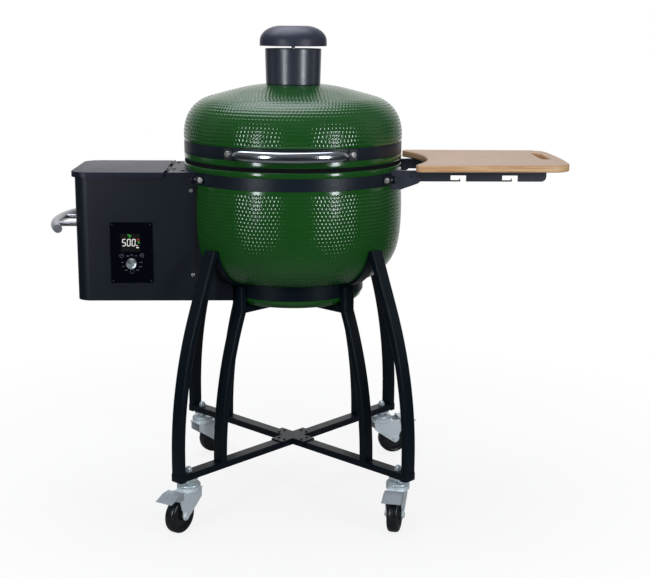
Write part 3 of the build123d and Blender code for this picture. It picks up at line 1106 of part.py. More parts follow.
def make_caster_pedal():
    outer_half = FORK_INNER_HALF + FORK_PLATE
    pivot_x, pivot_z = PEDAL_PIVOT
    cheek_in = outer_half + SEAT_GAP
    cheek_out = PEDAL_WIDTH / 2
    tread = [(pivot_x - 6, pivot_z + 13), (pivot_x + 20, pivot_z + 11), (PEDAL_TIP_U - 8, pivot_z + 1),
             (PEDAL_TIP_U, pivot_z)]
    under = [(x, z - PEDAL_THICKNESS) for x, z in reversed(tread)]
    across = Plane(origin=(0, cheek_out, 0), x_dir=(1, 0, 0), z_dir=(0, -1, 0))
    top = extrude(across * make_face(Polyline(*tread, *under, close=True)), 2 * cheek_out)
    cheek_face = make_face(Polyline(
        (pivot_x - 6, pivot_z + 11), (pivot_x + 20, pivot_z + 9), (pivot_x + 32, pivot_z + 3),
        (pivot_x + 14, pivot_z - 6), (pivot_x - 6, pivot_z - 6), close=True))
    cheeks = []
    for side in (-1, 1):
        start = cheek_out if side > 0 else -cheek_in
        plane = Plane(origin=(0, start, 0), x_dir=(1, 0, 0), z_dir=(0, -1, 0))
        cheeks.append(extrude(plane * cheek_face, cheek_out - cheek_in))
    pin = rod((pivot_x, -cheek_out, pivot_z), (pivot_x, cheek_out, pivot_z), PEDAL_PIVOT_RADIUS)
    shoe = slab((pivot_x - 2, pivot_x + 12), (-10, 10), (pivot_z - 1, pivot_z + 10.5))
    return top + cheeks + pin + shoe


def make_casters():
    stems = []
    for name, angle in CASTER_ANGLES.items():
        stem_axis = Rot(0, 0, angle) * Pos(CASTER_CIRCLE_RADIUS, 0, 0)
        stems += [stem_axis * item for item in make_caster_stem()]
        place = Pos(*stem_axis.position) * Rot(0, 0, CASTER_TRAILS[name])
        nodes[f"caster_{name}_fork"] = [place * item for item in make_caster_fork()]
        nodes[f"caster_{name}_wheel"] = [place * item for item in make_caster_wheel()]
        nodes[f"caster_{name}_pedal"] = place * make_caster_pedal()
    nodes["caster_stems"] = stems


# ---------------------------------------------------------------- shelf
def make_shelf():
    inner_x = BOARD_INNER_X
    corner_x = BOARD_OUTER_X - BOARD_OUTER_BULGE
    sides = Polyline((corner_x, -BOARD_OUTER_HALF), (inner_x, -BOARD_INNER_HALF),
                     (inner_x, BOARD_INNER_HALF), (corner_x, BOARD_OUTER_HALF))
    end = ThreePointArc((corner_x, BOARD_OUTER_HALF), (BOARD_OUTER_X, 0), (corner_x, -BOARD_OUTER_HALF))
    plan = make_face(Wire([*sides.edges(), *end.edges()])) - Circle(BOARD_CUTOUT_RADIUS)
    outer_corners = plan.vertices().sort_by(Axis.X)[-2:]
    plan = fillet(outer_corners, BOARD_OUTER_CORNER)
    horn_tips = plan.vertices().group_by(Axis.X)[0].sort_by(Axis.Y)
    slot = Pos(BOARD_OUTER_X - SLOT_INSET - SLOT_WIDTH / 2, SLOT_Y) * Rot(0, 0, 90) * SlotOverall(
        SLOT_LENGTH, SLOT_WIDTH)
    plan = fillet([horn_tips[0], horn_tips[-1]], BOARD_INNER_CORNER)
    plan = plan - slot
    board = Pos(0, 0, BOARD_BOTTOM_Z) * extrude(plan, BOARD_THICKNESS)
    rims = board.edges().group_by(Axis.Z)
    board = fillet([*rims[0], *rims[-1]], BOARD_EDGE_ROUND)
    nodes["shelf_board"] = board

    pivot_x, pivot_z = SHELF_PIVOT
    web_in = ARM_Y - SEAT_GAP - RAIL_SHEET
    web_out = ARM_Y - SEAT_GAP
    rail_top = BOARD_BOTTOM_Z - SEAT_GAP
    rails = []
    arms = []
    bolts = []
    bowl_clear = bowl_solid(PANEL_GAP)
    for side in (-1, 1):
        mirror = Plane(origin=(0, 0, 0), x_dir=(1, 0, 0), z_dir=(0, -1, 0))

        def sheet(face, near, far):
            low, high = sorted((-side * near, -side * far))
            return extrude(mirror.offset(low) * face, high - low)

        body = Pos((RAIL_START_X + RAIL_END_X) / 2, (RAIL_BOTTOM_Z + rail_top) / 2) * Rectangle(
            RAIL_END_X - RAIL_START_X, rail_top - RAIL_BOTTOM_Z)
        body = fillet(body.vertices().filter_by(
            lambda point: point.X > RAIL_START_X + 1 and point.Y < rail_top - 1), 14)
        tail = make_hull([
            *(Pos(pivot_x, pivot_z) * Circle(RAIL_TAIL_RADIUS)).edges(),
            *(Pos(RAIL_START_X + 6, pivot_z - 1) * Rectangle(10, 2 * RAIL_TAIL_RADIUS)).edges(),
        ])
        face = body + tail
        for hook_x in HOOK_XS:
            width, height = HOOK_NOTCH
            reach, lip = HOOK_TAB
            face = face - Pos(hook_x + width / 2, RAIL_BOTTOM_Z + height / 2) * Rectangle(width, height)
            face = face + Pos(hook_x + reach / 2 - 1, RAIL_BOTTOM_Z + lip / 2) * Rectangle(reach + 2, lip)
            face = face + Pos(hook_x + reach - 1, RAIL_BOTTOM_Z + lip) * Rectangle(3, 2 * lip)
        face = face - Pos(pivot_x, pivot_z) * Circle(SHELF_PIVOT_RADIUS + RUNNING_FIT)
        rail = sheet(face, web_in, web_out)
        flange = slab((RAIL_START_X, RAIL_END_X - 10), sorted((side * (web_out - RAIL_FLANGE), side * web_out)),
                      (rail_top - RAIL_SHEET, rail_top))
        rails.append(rail + flange)

        top = BOARD_BOTTOM_Z - 1
        plate = make_face(Polyline(
            (ARM_START_X, ARM_LOW[1]), ARM_LOW, (pivot_x, pivot_z), (ARM_FLANGE_END_X, top),
            (ARM_START_X, top), close=True))
        nose = Pos(pivot_x, pivot_z) * Circle(ARM_NOSE_RADIUS)
        web = make_hull([*plate.edges(), *nose.edges()])
        web = web - Pos(pivot_x, top + ARM_NOSE_RADIUS) * Rectangle(
            2 * ARM_NOSE_RADIUS + 2 * RIM_RADIUS, 2 * ARM_NOSE_RADIUS)
        slot_x, slot_width, slot_height = LOCK_SLOT
        web = web - Pos(slot_x, pivot_z + 1) * Rectangle(slot_width, slot_height)
        web = web - Pos(pivot_x, pivot_z) * Circle(SHELF_PIVOT_RADIUS)
        arm = sheet(web, ARM_Y, ARM_Y + ARM_SHEET)
        arm = arm + slab((ARM_START_X, ARM_FLANGE_END_X), sorted(
            (side * (ARM_Y + ARM_SHEET - ARM_FLANGE), side * (ARM_Y + ARM_SHEET))), (top - 2.5, top))
        inner = BAND_RADIUS + SEAT_GAP
        outer = inner + ARM_SHEET
        arm = arm - rod((0, 0, 0), (0, 0, FAR), inner) - bowl_clear
        saddle = ring(inner, outer, BASE_BAND_Z + 1, BASE_BAND_Z + BAND_HEIGHT - 1)
        wedge = make_face(Polyline(
            (0, 0), *[(FAR * cos(radians(a)), side * FAR * sin(radians(a))) for a in ARM_SADDLE_ANGLES],
            close=True))
        saddle = saddle & extrude(wedge, FAR)
        arms.append(arm + saddle)
        pin_start = side * (web_in - 2)
        pin_end = side * (ARM_Y + ARM_SHEET)
        bolts.append(
            rod((pivot_x, pin_start, pivot_z), (pivot_x, pin_end, pivot_z), SHELF_PIVOT_RADIUS)
            + rod((pivot_x, pin_end, pivot_z),
                  (pivot_x, pin_end + side * SHELF_BOLT_HEAD[1], pivot_z), SHELF_BOLT_HEAD[0])
            + rod((pivot_x, pin_start, pivot_z), (pivot_x, pin_start + side * (2 - SEAT_GAP), pivot_z),
                  SHELF_BOLT_HEAD[0])
        )
        turn = side * ARM_BOLT_ANGLE
        out = Vector(cos(radians(turn)), sin(radians(turn)), 0)
        base = out * outer + Vector(0, 0, BASE_BAND_Z + BAND_HEIGHT / 2)
        shank = outer - BAND_SEAT_RADIUS - SEAT_GAP
        hole = rod(base - out * shank, base + out, BOLT_SHANK_RADIUS)
        bolts.append(facing(base, out) * bolt(*BOLT_HEAD, BOLT_SHANK_RADIUS, shank))
        nodes["base_band"] = nodes["base_band"] - hole
        arms[-1] = arms[-1] - hole
    nodes["shelf_rails"] = rails
    nodes["shelf_arms"] = arms
    base_bolts.extend(bolts)
    nodes["base_bolts"] = base_bolts


# ---------------------------------------------------------------- build and write
nodes["base_shell"] = base_shell()
nodes["lid_shell"] = lid_shell()
make_gaskets_and_bands()
make_band_clamps()
make_chimney()
make_lid_handle()
make_hinge()
make_fire_parts()
make_hopper()
make_hopper_handle()
make_stand()
make_casters()
make_shelf()

os.makedirs("parts", exist_ok=True)
for node_name, content in nodes.items():
    pieces = content if isinstance(content, list) else [content]
    solids = [solid for piece in pieces for solid in piece.solids()]
    shape = solids[0] if len(solids) == 1 else Compound(children=solids)
    export_step(shape, f"parts/{node_name}.step")
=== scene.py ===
"""Looks of the ceramic kamado grill: glazed ceramic, powder-coated steel, chrome, zinc and bamboo."""
import json
import math

import bmesh
import bpy
import numpy as np
from mathutils import Matrix, Vector, noise


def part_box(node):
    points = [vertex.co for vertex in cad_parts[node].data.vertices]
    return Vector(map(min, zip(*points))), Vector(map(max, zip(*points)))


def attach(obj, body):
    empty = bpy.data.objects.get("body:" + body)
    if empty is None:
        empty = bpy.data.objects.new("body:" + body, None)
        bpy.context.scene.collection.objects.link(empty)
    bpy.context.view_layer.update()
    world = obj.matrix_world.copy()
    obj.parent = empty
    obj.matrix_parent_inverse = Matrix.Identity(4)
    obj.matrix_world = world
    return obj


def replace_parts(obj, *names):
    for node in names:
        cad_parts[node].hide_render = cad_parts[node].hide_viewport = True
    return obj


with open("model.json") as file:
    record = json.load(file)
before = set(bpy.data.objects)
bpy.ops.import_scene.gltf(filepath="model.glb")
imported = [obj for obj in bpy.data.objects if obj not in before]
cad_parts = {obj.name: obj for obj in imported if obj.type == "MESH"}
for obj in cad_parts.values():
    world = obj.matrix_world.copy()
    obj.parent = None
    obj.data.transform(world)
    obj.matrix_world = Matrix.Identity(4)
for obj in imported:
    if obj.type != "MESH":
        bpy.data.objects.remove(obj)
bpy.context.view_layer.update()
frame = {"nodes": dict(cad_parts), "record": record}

BODY_OF = {node: body for body, nodes in frame["record"]["behaviour"]["bodies"].items() for node in nodes}


# ---- camera, lights and stage
CAMERA_PLACE = Vector((-0.0269, -3.3332, 1.3412))
CAMERA_TURN = math.radians(-2.04)
CAMERA_PITCH = math.radians(12.50)
CAMERA_ROLL = math.radians(0.404)
LENS = 65.95
SENSOR_WIDTH = 36.0

WHITE = (1, 1, 1, 1)
BLACK = (0, 0, 0, 1)
ROOM_COLOUR = (0.84, 0.90, 1.0, 1)
ROOM_LIGHT = 0.10
ROOM_FLOOR_SHARE = 0.35         # of the room's light, seen towards its floor
ROOM_CEILING_SHARE = 2.2        # and towards its ceiling
FLOOR_RADIUS = 4.0
FLOOR_DROP = 0.0005             # keeps the wheels clear of the floor's face
FLOOR_PALE_RADIUS = 1.7         # the floor has faded out at this distance
FLOOR_GLOW = 0.84
FLOOR_COLOUR = (0.95, 0.95, 0.95, 1)
FLOOR_IN_PAINT = (0.20, 0.20, 0.20, 1)
FLOOR_IN_GLOSS = (0.32, 0.32, 0.32, 1)

BODY_MIDDLE = (0, 0, 0.9)
BAND_LEVEL = (0, 0, 0.95)
COOL_LIGHT = (0.90, 0.95, 1.0)
SKY_LIGHT = (0.88, 0.90, 1.0)


def add_camera():
    data = bpy.data.cameras.new("camera")
    data.lens = LENS
    data.sensor_width = SENSOR_WIDTH
    data.sensor_fit = "HORIZONTAL"
    camera = bpy.data.objects.new("camera", data)
    bpy.context.collection.objects.link(camera)
    look = Matrix.Rotation(CAMERA_TURN, 4, "Z") @ Matrix.Rotation(math.pi / 2 - CAMERA_PITCH, 4, "X")
    camera.matrix_world = Matrix.Translation(CAMERA_PLACE) @ look @ Matrix.Rotation(CAMERA_ROLL, 4, "Z")
    bpy.context.scene.camera = camera


def add_area_light(name, place, target, size, power, colour=(1, 1, 1)):
    data = bpy.data.lights.new(name, "AREA")
    data.shape = "RECTANGLE"
    data.size, data.size_y = size
    data.energy = power
    data.color = colour
    light = bpy.data.objects.new(name, data)
    bpy.context.collection.objects.link(light)
    light.location = place
    light.rotation_euler = (Vector(target) - Vector(place)).to_track_quat("-Z", "Y").to_euler()
    return light


def add_world():
    """White backdrop behind the object, and a dim room on the other side."""
    world = bpy.data.worlds.new("studio")
    bpy.context.scene.world = world
    world.use_nodes = True
    world.node_tree.nodes.clear()
    m = NodeTree(world.node_tree)
    out = m.node("ShaderNodeOutputWorld")
    room = m.node("ShaderNodeBackground")
    room.inputs["Color"].default_value = ROOM_COLOUR
    white = m.node("ShaderNodeBackground")
    white.inputs["Color"].default_value = WHITE
    white.inputs["Strength"].default_value = 1.0
    path = m.node("ShaderNodeLightPath")
    way = m.separate(m.node("ShaderNodeTexCoord").outputs["Generated"])
    strength = m.between(
        way[2], ROOM_FLOOR_SHARE * ROOM_LIGHT, ROOM_CEILING_SHARE * ROOM_LIGHT, -0.05, 0.75)
    m.link(strength, room.inputs["Strength"])
    behind = m.between(way[1], 0.0, 1.0, 0.7, 0.95)
    shown = m.math("MAXIMUM", path.outputs["Is Glossy Ray"], path.outputs["Is Transmission Ray"])
    shown = m.math("MULTIPLY", shown, behind)
    shown = m.math("MAXIMUM", shown, path.outputs["Is Camera Ray"])
    m.link(m.mix_shaders(shown, room.outputs[0], white.outputs[0]), out.inputs["Surface"])


def add_stage():
    """Pale round floor that fades into the white backdrop."""
    mesh = bpy.data.meshes.new("floor")
    shape = bmesh.new()
    bmesh.ops.create_circle(shape, cap_ends=True, segments=96, radius=FLOOR_RADIUS)
    shape.to_mesh(mesh)
    shape.free()
    floor = bpy.data.objects.new("floor", mesh)
    bpy.context.collection.objects.link(floor)
    floor.location = (0, 0, -FLOOR_DROP)
    m = Surface("floor_paper")
    spot = m.separate(m.coords())
    share = m.math("DIVIDE", m.length(spot[0], spot[1]), FLOOR_PALE_RADIUS)
    fade = m.ramp(share, [(0.35, BLACK), (1.0, WHITE)])
    path = m.node("ShaderNodeLightPath")
    shown = m.math("MAXIMUM", path.outputs["Is Camera Ray"], path.outputs["Is Transmission Ray"])
    reflected = m.mix(path.outputs["Is Glossy Ray"], FLOOR_IN_PAINT, FLOOR_IN_GLOSS)
    paper = m.node("ShaderNodeBsdfDiffuse")
    m.link(m.mix(shown, reflected, FLOOR_COLOUR), paper.inputs["Color"])
    clear = m.node("ShaderNodeBsdfTransparent")
    white = m.node("ShaderNodeEmission")
    white.inputs["Color"].default_value = WHITE
    lit = m.mix_shaders(m.math("MULTIPLY", shown, FLOOR_GLOW), paper.outputs[0], white.outputs[0])
    m.link(m.mix_shaders(fade, lit, clear.outputs[0]), m.output.inputs["Surface"])
    floor.data.materials.append(m.data)


def add_lights():
    add_area_light("left_box", (-1.62, -2.22, 1.17), BAND_LEVEL, (0.34, 1.25), 21, COOL_LIGHT)
    add_area_light("right_box", (1.78, -2.03, 1.17), BAND_LEVEL, (0.36, 1.25), 24, COOL_LIGHT)
    add_area_light("overhead", (-0.3, 0.5, 3.2), (0, 0.1, 0.9), (2.4, 2.2), 56, SKY_LIGHT)
    add_area_light("left_rim", (-3.0, 0.4, 1.7), BODY_MIDDLE, (1.0, 2.4), 1.6)
    add_area_light("right_rim", (3.0, 0.2, 1.7), BODY_MIDDLE, (1.0, 2.4), 3)
    fill = add_area_light("front_fill", (0.2, -4.6, 3.4), BODY_MIDDLE, (2.6, 1.8), 60)
    fill.visible_glossy = False


# ---- materials
COAT_GRAIN = 0.00006
FINE_GRAIN = 0.00003
POLISH_GRAIN = 0.00002
# wedges of the painted reflection on the knob's face
PAINTED_FAN_WEDGES = 3.0
PAINTED_FAN_TURN = -1.2
BAMBOO_STRIP = 0.0205
BAMBOO_LAYER = 0.0068
KNOB_CENTRE = sum(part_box("control_knob"), Vector()) / 2


def shaded(colour, share):
    """A colour made darker or lighter, with its alpha."""
    return (*[channel * share for channel in colour], 1)


class NodeTree:
    """Short calls for the nodes that a material or the world is made of."""

    def __init__(self, tree):
        self.tree = tree

    def node(self, kind):
        return self.tree.nodes.new(kind)

    def link(self, source, target):
        self.tree.links.new(source, target)

    def feed(self, socket, value):
        """Links a socket, or sets a plain number or colour on it."""
        if isinstance(value, bpy.types.NodeSocket):
            self.link(value, socket)
        else:
            socket.default_value = value

    def coords(self):
        return self.node("ShaderNodeTexCoord").outputs["Object"]

    def attribute(self, name):
        step = self.node("ShaderNodeAttribute")
        step.attribute_name = name
        return step.outputs["Fac"]

    def separate(self, vector):
        split = self.node("ShaderNodeSeparateXYZ")
        self.link(vector, split.inputs[0])
        return split.outputs

    def combine(self, x, y, z):
        join = self.node("ShaderNodeCombineXYZ")
        for socket, value in zip(join.inputs, (x, y, z)):
            self.feed(socket, value)
        return join.outputs[0]

    def math(self, operation, *values):
        step = self.node("ShaderNodeMath")
        step.operation = operation
        for socket, value in zip(step.inputs, values):
            self.feed(socket, value)
        return step.outputs[0]

    def length(self, first, second):
        """Length of a vector in a plane, from its two components."""
        squares = [self.math("POWER", value, 2.0) for value in (first, second)]
        return self.math("SQRT", self.math("ADD", *squares))

    def off_middle(self, value):
        """Distance of a value from the middle of the whole step it lies in, from -0.5 to 0.5."""
        return self.math("SUBTRACT", self.math("FRACT", value), 0.5)

    def stretched(self, scale):
        step = self.node("ShaderNodeVectorMath")
        step.operation = "MULTIPLY"
        self.link(self.coords(), step.inputs[0])
        step.inputs[1].default_value = scale
        return step.outputs[0]

    def noise(self, scale, detail=3.0, roughness=0.5, vector=None, distortion=0.0):
        step = self.node("ShaderNodeTexNoise")
        self.link(vector or self.coords(), step.inputs["Vector"])
        step.inputs["Scale"].default_value = scale
        step.inputs["Detail"].default_value = detail
        step.inputs["Roughness"].default_value = roughness
        step.inputs["Distortion"].default_value = distortion
        return step.outputs["Fac"]

    def ramp(self, value, stops):
        """Colour ramp between two stops, each a position and a colour."""
        step = self.node("ShaderNodeValToRGB")
        for element, (position, colour) in zip(step.color_ramp.elements, stops):
            element.position = position
            element.color = colour
        self.link(value, step.inputs[0])
        return step.outputs[0]

    def between(self, value, low, high, from_low=0.0, from_high=1.0):
        """Maps a value from its own range to another."""
        step = self.node("ShaderNodeMapRange")
        self.link(value, step.inputs["Value"])
        step.inputs["From Min"].default_value = from_low
        step.inputs["From Max"].default_value = from_high
        step.inputs["To Min"].default_value = low
        step.inputs["To Max"].default_value = high
        return step.outputs[0]

    def mix(self, factor, first, second):
        step = self.node("ShaderNodeMix")
        step.data_type = "RGBA"
        self.feed(step.inputs["Factor"], factor)
        self.feed(step.inputs[6], first)
        self.feed(step.inputs[7], second)
        return step.outputs[2]

    def mix_shaders(self, factor, first, second):
        step = self.node("ShaderNodeMixShader")
        for socket, value in zip(step.inputs, (factor, first, second)):
            self.link(value, socket)
        return step.outputs[0]

    def bump(self, height, distance, strength=1.0, below=None):
        step = self.node("ShaderNodeBump")
        self.link(height, step.inputs["Height"])
        step.inputs["Distance"].default_value = distance
        step.inputs["Strength"].default_value = strength
        if below is not None:
            self.link(below, step.inputs["Normal"])
        return step.outputs[0]


class Surface(NodeTree):
    """A node material."""

    def __init__(self, name):
        self.data = bpy.data.materials.new(name)
        self.data.use_nodes = True
        super().__init__(self.data.node_tree)
        self.tree.nodes.clear()
        self.output = self.node("ShaderNodeOutputMaterial")

    def principled(self, **inputs):
        shader = self.node("ShaderNodeBsdfPrincipled")
        for name, value in inputs.items():
            self.feed(shader.inputs[name.replace("_", " ")], value)
        self.link(shader.outputs[0], self.output.inputs["Surface"])


def green_glaze():
    """Deep green glaze, pooled paler in its dimples, over rows of shallow dimples."""
    m = Surface("green_glaze")
    spot = m.separate(m.coords())
    turn = m.math("DIVIDE", m.math("ARCTAN2", spot[1], spot[0]), 2 * math.pi)
    row = m.attribute("row")
    count = m.attribute("dimple_count")
    shift = m.math("MULTIPLY", m.math("FLOOR", row), 0.5)
    across = m.math("ADD", m.math("MULTIPLY", turn, count), shift)
    reach = m.math("MINIMUM", m.length(m.off_middle(across), m.off_middle(row)), 0.5)
    dome = m.math("SUBTRACT", 1.0, m.math("POWER", m.math("MULTIPLY", reach, 2.0), 2.0))
    dimpled = m.math("GREATER_THAN", count, 1.0)
    dimple = m.math("MULTIPLY", dome, dimpled)
    pressed = m.math("MULTIPLY", dimple, -1.0)
    wave = m.noise(9.0, 2.0)
    glaze = m.mix(m.noise(26.0, 4.0), (0.0085, 0.068, 0.0092, 1), (0.0120, 0.088, 0.0125, 1))
    pooled = m.mix(m.math("MULTIPLY", dimple, 0.35), glaze, (0.013, 0.088, 0.014, 1))
    normal = m.bump(pressed, 0.00050, 1.0, m.bump(wave, 0.0012, 0.35))
    m.principled(
        Base_Color=pooled, Roughness=m.between(m.noise(60.0), 0.10, 0.20), IOR=1.5,
        Normal=normal, Coat_Weight=0.15, Coat_Roughness=0.04, Coat_IOR=1.55, Coat_Normal=normal)
    return m.data


def powder_coat(name, colour, roughness, gloss):
    """Powder coat: a fine orange-peel grain over slightly uneven colour."""
    m = Surface(name)
    tone = m.mix(m.noise(14.0, 5.0, 0.6), (*colour, 1), shaded(colour, 1.35))
    peel = m.noise(900.0, 2.0)
    below = m.bump(m.noise(220.0, 3.0), 1.5 * COAT_GRAIN, 0.5)
    m.principled(
        Base_Color=tone, Roughness=m.between(m.noise(40.0, 4.0), roughness - 0.05, roughness + 0.07),
        Specular_IOR_Level=gloss, Normal=m.bump(peel, COAT_GRAIN, 0.6, below))
    return m.data


def metal(name, colour, roughness, streak=(1.0, 1.0, 1.0), spots=0.0):
    """Bare metal; the streak stretches its polishing marks along the short directions."""
    m = Surface(name)
    marks = m.noise(700.0, 3.0, 0.6, m.stretched(streak))
    tone = m.mix(m.noise(60.0, 5.0, 0.7), shaded(colour, 0.9 - spots), (*colour, 1))
    m.principled(
        Base_Color=tone, Metallic=1.0, Roughness=m.between(marks, roughness * 0.8, roughness * 1.3),
        Normal=m.bump(marks, POLISH_GRAIN, 0.5))
    return m.data


def plated(name, dull, bright, metallic):
    """Plating with a soft cloudy bloom."""
    m = Surface(name)
    cloud = m.noise(45.0, 6.0, 0.7)
    tone = m.mix(cloud, (*dull, 1), (*bright, 1))
    m.principled(
        Base_Color=tone, Metallic=metallic, Roughness=m.between(m.noise(160.0, 4.0), 0.22, 0.38),
        Normal=m.bump(m.noise(500.0, 2.0), FINE_GRAIN, 0.5))
    return m.data


def spun_face_painted_fan():
    """Turned face: fine marks run round the knob's axis, and a painted reflection fans out from its middle
    in light and dark wedges.
    """
    m = Surface("spun_face_painted_fan")
    spot = m.separate(m.coords())
    dx = m.math("SUBTRACT", spot[0], KNOB_CENTRE.x)
    dz = m.math("SUBTRACT", spot[2], KNOB_CENTRE.z)
    marks = m.combine(m.math("MULTIPLY", m.length(dx, dz), 9000.0), 0.0, 0.0)
    rings = m.noise(1.0, 2.0, 0.6, marks)
    way = m.node("ShaderNodeTangent")
    way.direction_type = "RADIAL"
    way.axis = "Y"
    turn = m.math("ARCTAN2", dz, dx)
    # painted reflection: the colour darkens and lightens in wedges round the knob's middle
    painted_wedges = m.math("COSINE", m.math("ADD", m.math("MULTIPLY", turn, PAINTED_FAN_WEDGES), PAINTED_FAN_TURN))
    painted_fan = m.math("MULTIPLY", m.math("ADD", painted_wedges, 1.0), 0.5)
    tone = m.mix(rings, (0.52, 0.56, 0.57, 1), (0.80, 0.85, 0.86, 1))
    tone = m.mix(m.math("MULTIPLY", painted_fan, 0.85), tone, (0.10, 0.13, 0.13, 1))
    m.principled(
        Base_Color=tone, Metallic=0.7, Roughness=0.30, Anisotropic=0.9, Tangent=way.outputs[0])
    return m.data


def plastic(name, colour, roughness):
    m = Surface(name)
    light = (*[channel * 1.3 + 0.001 for channel in colour], 1)
    tone = m.mix(m.noise(30.0, 3.0), (*colour, 1), light)
    m.principled(
        Base_Color=tone, Roughness=m.between(m.noise(80.0), roughness * 0.85, roughness * 1.2),
        Normal=m.bump(m.noise(1500.0, 2.0), FINE_GRAIN, 0.5))
    return m.data


def rubber():
    m = Surface("wheel_rubber")
    tone = m.mix(m.noise(50.0, 5.0, 0.65), (0.003, 0.005, 0.007, 1), (0.009, 0.012, 0.015, 1))
    m.principled(
        Base_Color=tone, Roughness=m.between(m.noise(120.0, 4.0), 0.20, 0.38),
        Normal=m.bump(m.noise(500.0, 3.0), 0.00005, 0.5))
    return m.data


def felt():
    m = Surface("gasket_felt")
    fibres = m.noise(900.0, 6.0, 0.8, m.stretched((1, 1, 2.5)))
    tone = m.mix(fibres, (0.002, 0.002, 0.003, 1), (0.018, 0.018, 0.021, 1))
    m.principled(
        Base_Color=tone, Roughness=0.95, Specular_IOR_Level=0.1, Normal=m.bump(fibres, 0.0008, 0.8))
    return m.data


def fired_clay():
    m = Surface("fired_clay")
    tone = m.mix(m.noise(35.0, 8.0, 0.7), (0.30, 0.20, 0.13, 1), (0.55, 0.42, 0.30, 1))
    m.principled(Base_Color=tone, Roughness=0.9, Normal=m.bump(m.noise(260.0, 6.0, 0.7), 0.0008, 0.7))
    return m.data


def bamboo():
    """Oiled bamboo board: long strips side by side, with darker nodes and a layered edge."""
    m = Surface("bamboo")
    spot = m.separate(m.coords())
    strips = m.math("DIVIDE", spot[1], BAMBOO_STRIP)
    strip = m.math("FLOOR", strips)
    layer = m.math("FLOOR", m.math("DIVIDE", spot[2], BAMBOO_LAYER))
    own = m.node("ShaderNodeTexWhiteNoise")
    own.noise_dimensions = "2D"
    m.link(m.combine(strip, layer, 0.0), own.inputs["Vector"])
    fibres = m.noise(1.0, 5.0, 0.65, m.stretched((6.0, 520.0, 420.0)), 0.4)
    broad = m.noise(1.0, 3.0, 0.5, m.stretched((4.0, 46.0, 60.0)), 0.6)
    pale = m.mix(fibres, (0.46, 0.322, 0.222, 1), (0.56, 0.415, 0.306, 1))
    warm = m.mix(fibres, (0.50, 0.29, 0.155, 1), (0.60, 0.405, 0.255, 1))
    tone = m.mix(m.between(own.outputs["Value"], 0.0, 0.75), pale, warm)
    tone = m.mix(m.math("MULTIPLY", broad, 0.25), tone, (0.42, 0.25, 0.14, 1))
    along = m.math("ADD", m.math("MULTIPLY", spot[0], 4.2), m.math("MULTIPLY", own.outputs["Value"], 7.0))
    near_node = m.math("LESS_THAN", m.math("ABSOLUTE", m.off_middle(along)), 0.012)
    tone = m.mix(m.math("MULTIPLY", near_node, 0.35), tone, (0.33, 0.17, 0.08, 1))
    seam = m.math("GREATER_THAN", m.math("ABSOLUTE", m.off_middle(strips)), 0.485)
    tone = m.mix(m.math("MULTIPLY", seam, 0.22), tone, (0.25, 0.13, 0.06, 1))
    facing = m.separate(m.node("ShaderNodeTexCoord").outputs["Normal"])
    side = m.math("LESS_THAN", m.math("ABSOLUTE", facing[2]), 0.5)
    stripes = m.noise(1.0, 3.0, 0.6, m.stretched((7.0, 7.0, 330.0)), 0.8)
    layers = m.ramp(stripes, [(0.42, BLACK), (0.62, WHITE)])
    edge = m.mix(layers, (0.74, 0.49, 0.26, 1), (0.58, 0.27, 0.11, 1))
    tone = m.mix(side, tone, edge)
    m.principled(
        Base_Color=tone, Roughness=m.between(fibres, 0.42, 0.6), Coat_Weight=0.12, Coat_Roughness=0.35,
        Normal=m.bump(fibres, 0.00025, 0.4))
    return m.data


def glass_panel():
    m = Surface("panel_gloss")
    tone = m.mix(m.noise(20.0), (0.0004, 0.0007, 0.0034, 1), (0.0009, 0.0014, 0.0055, 1))
    m.principled(
        Base_Color=tone, Roughness=m.between(m.noise(90.0), 0.10, 0.18), Specular_IOR_Level=0.4)
    return m.data


def glowing(name, colour, strength):
    """Lit segment of the display, a little uneven like a real one."""
    m = Surface(name)
    tone = m.mix(m.noise(400.0), shaded(colour, 0.8), (*colour, 1))
    m.principled(
        Base_Color=(0.01, 0.01, 0.01, 1), Roughness=0.4, Emission_Color=tone, Emission_Strength=strength)
    return m.data


def printed(name, colour):
    m = Surface(name)
    tone = m.mix(m.noise(900.0), shaded(colour, 0.75), (*colour, 1))
    m.principled(Base_Color=tone, Roughness=0.5)
    return m.data


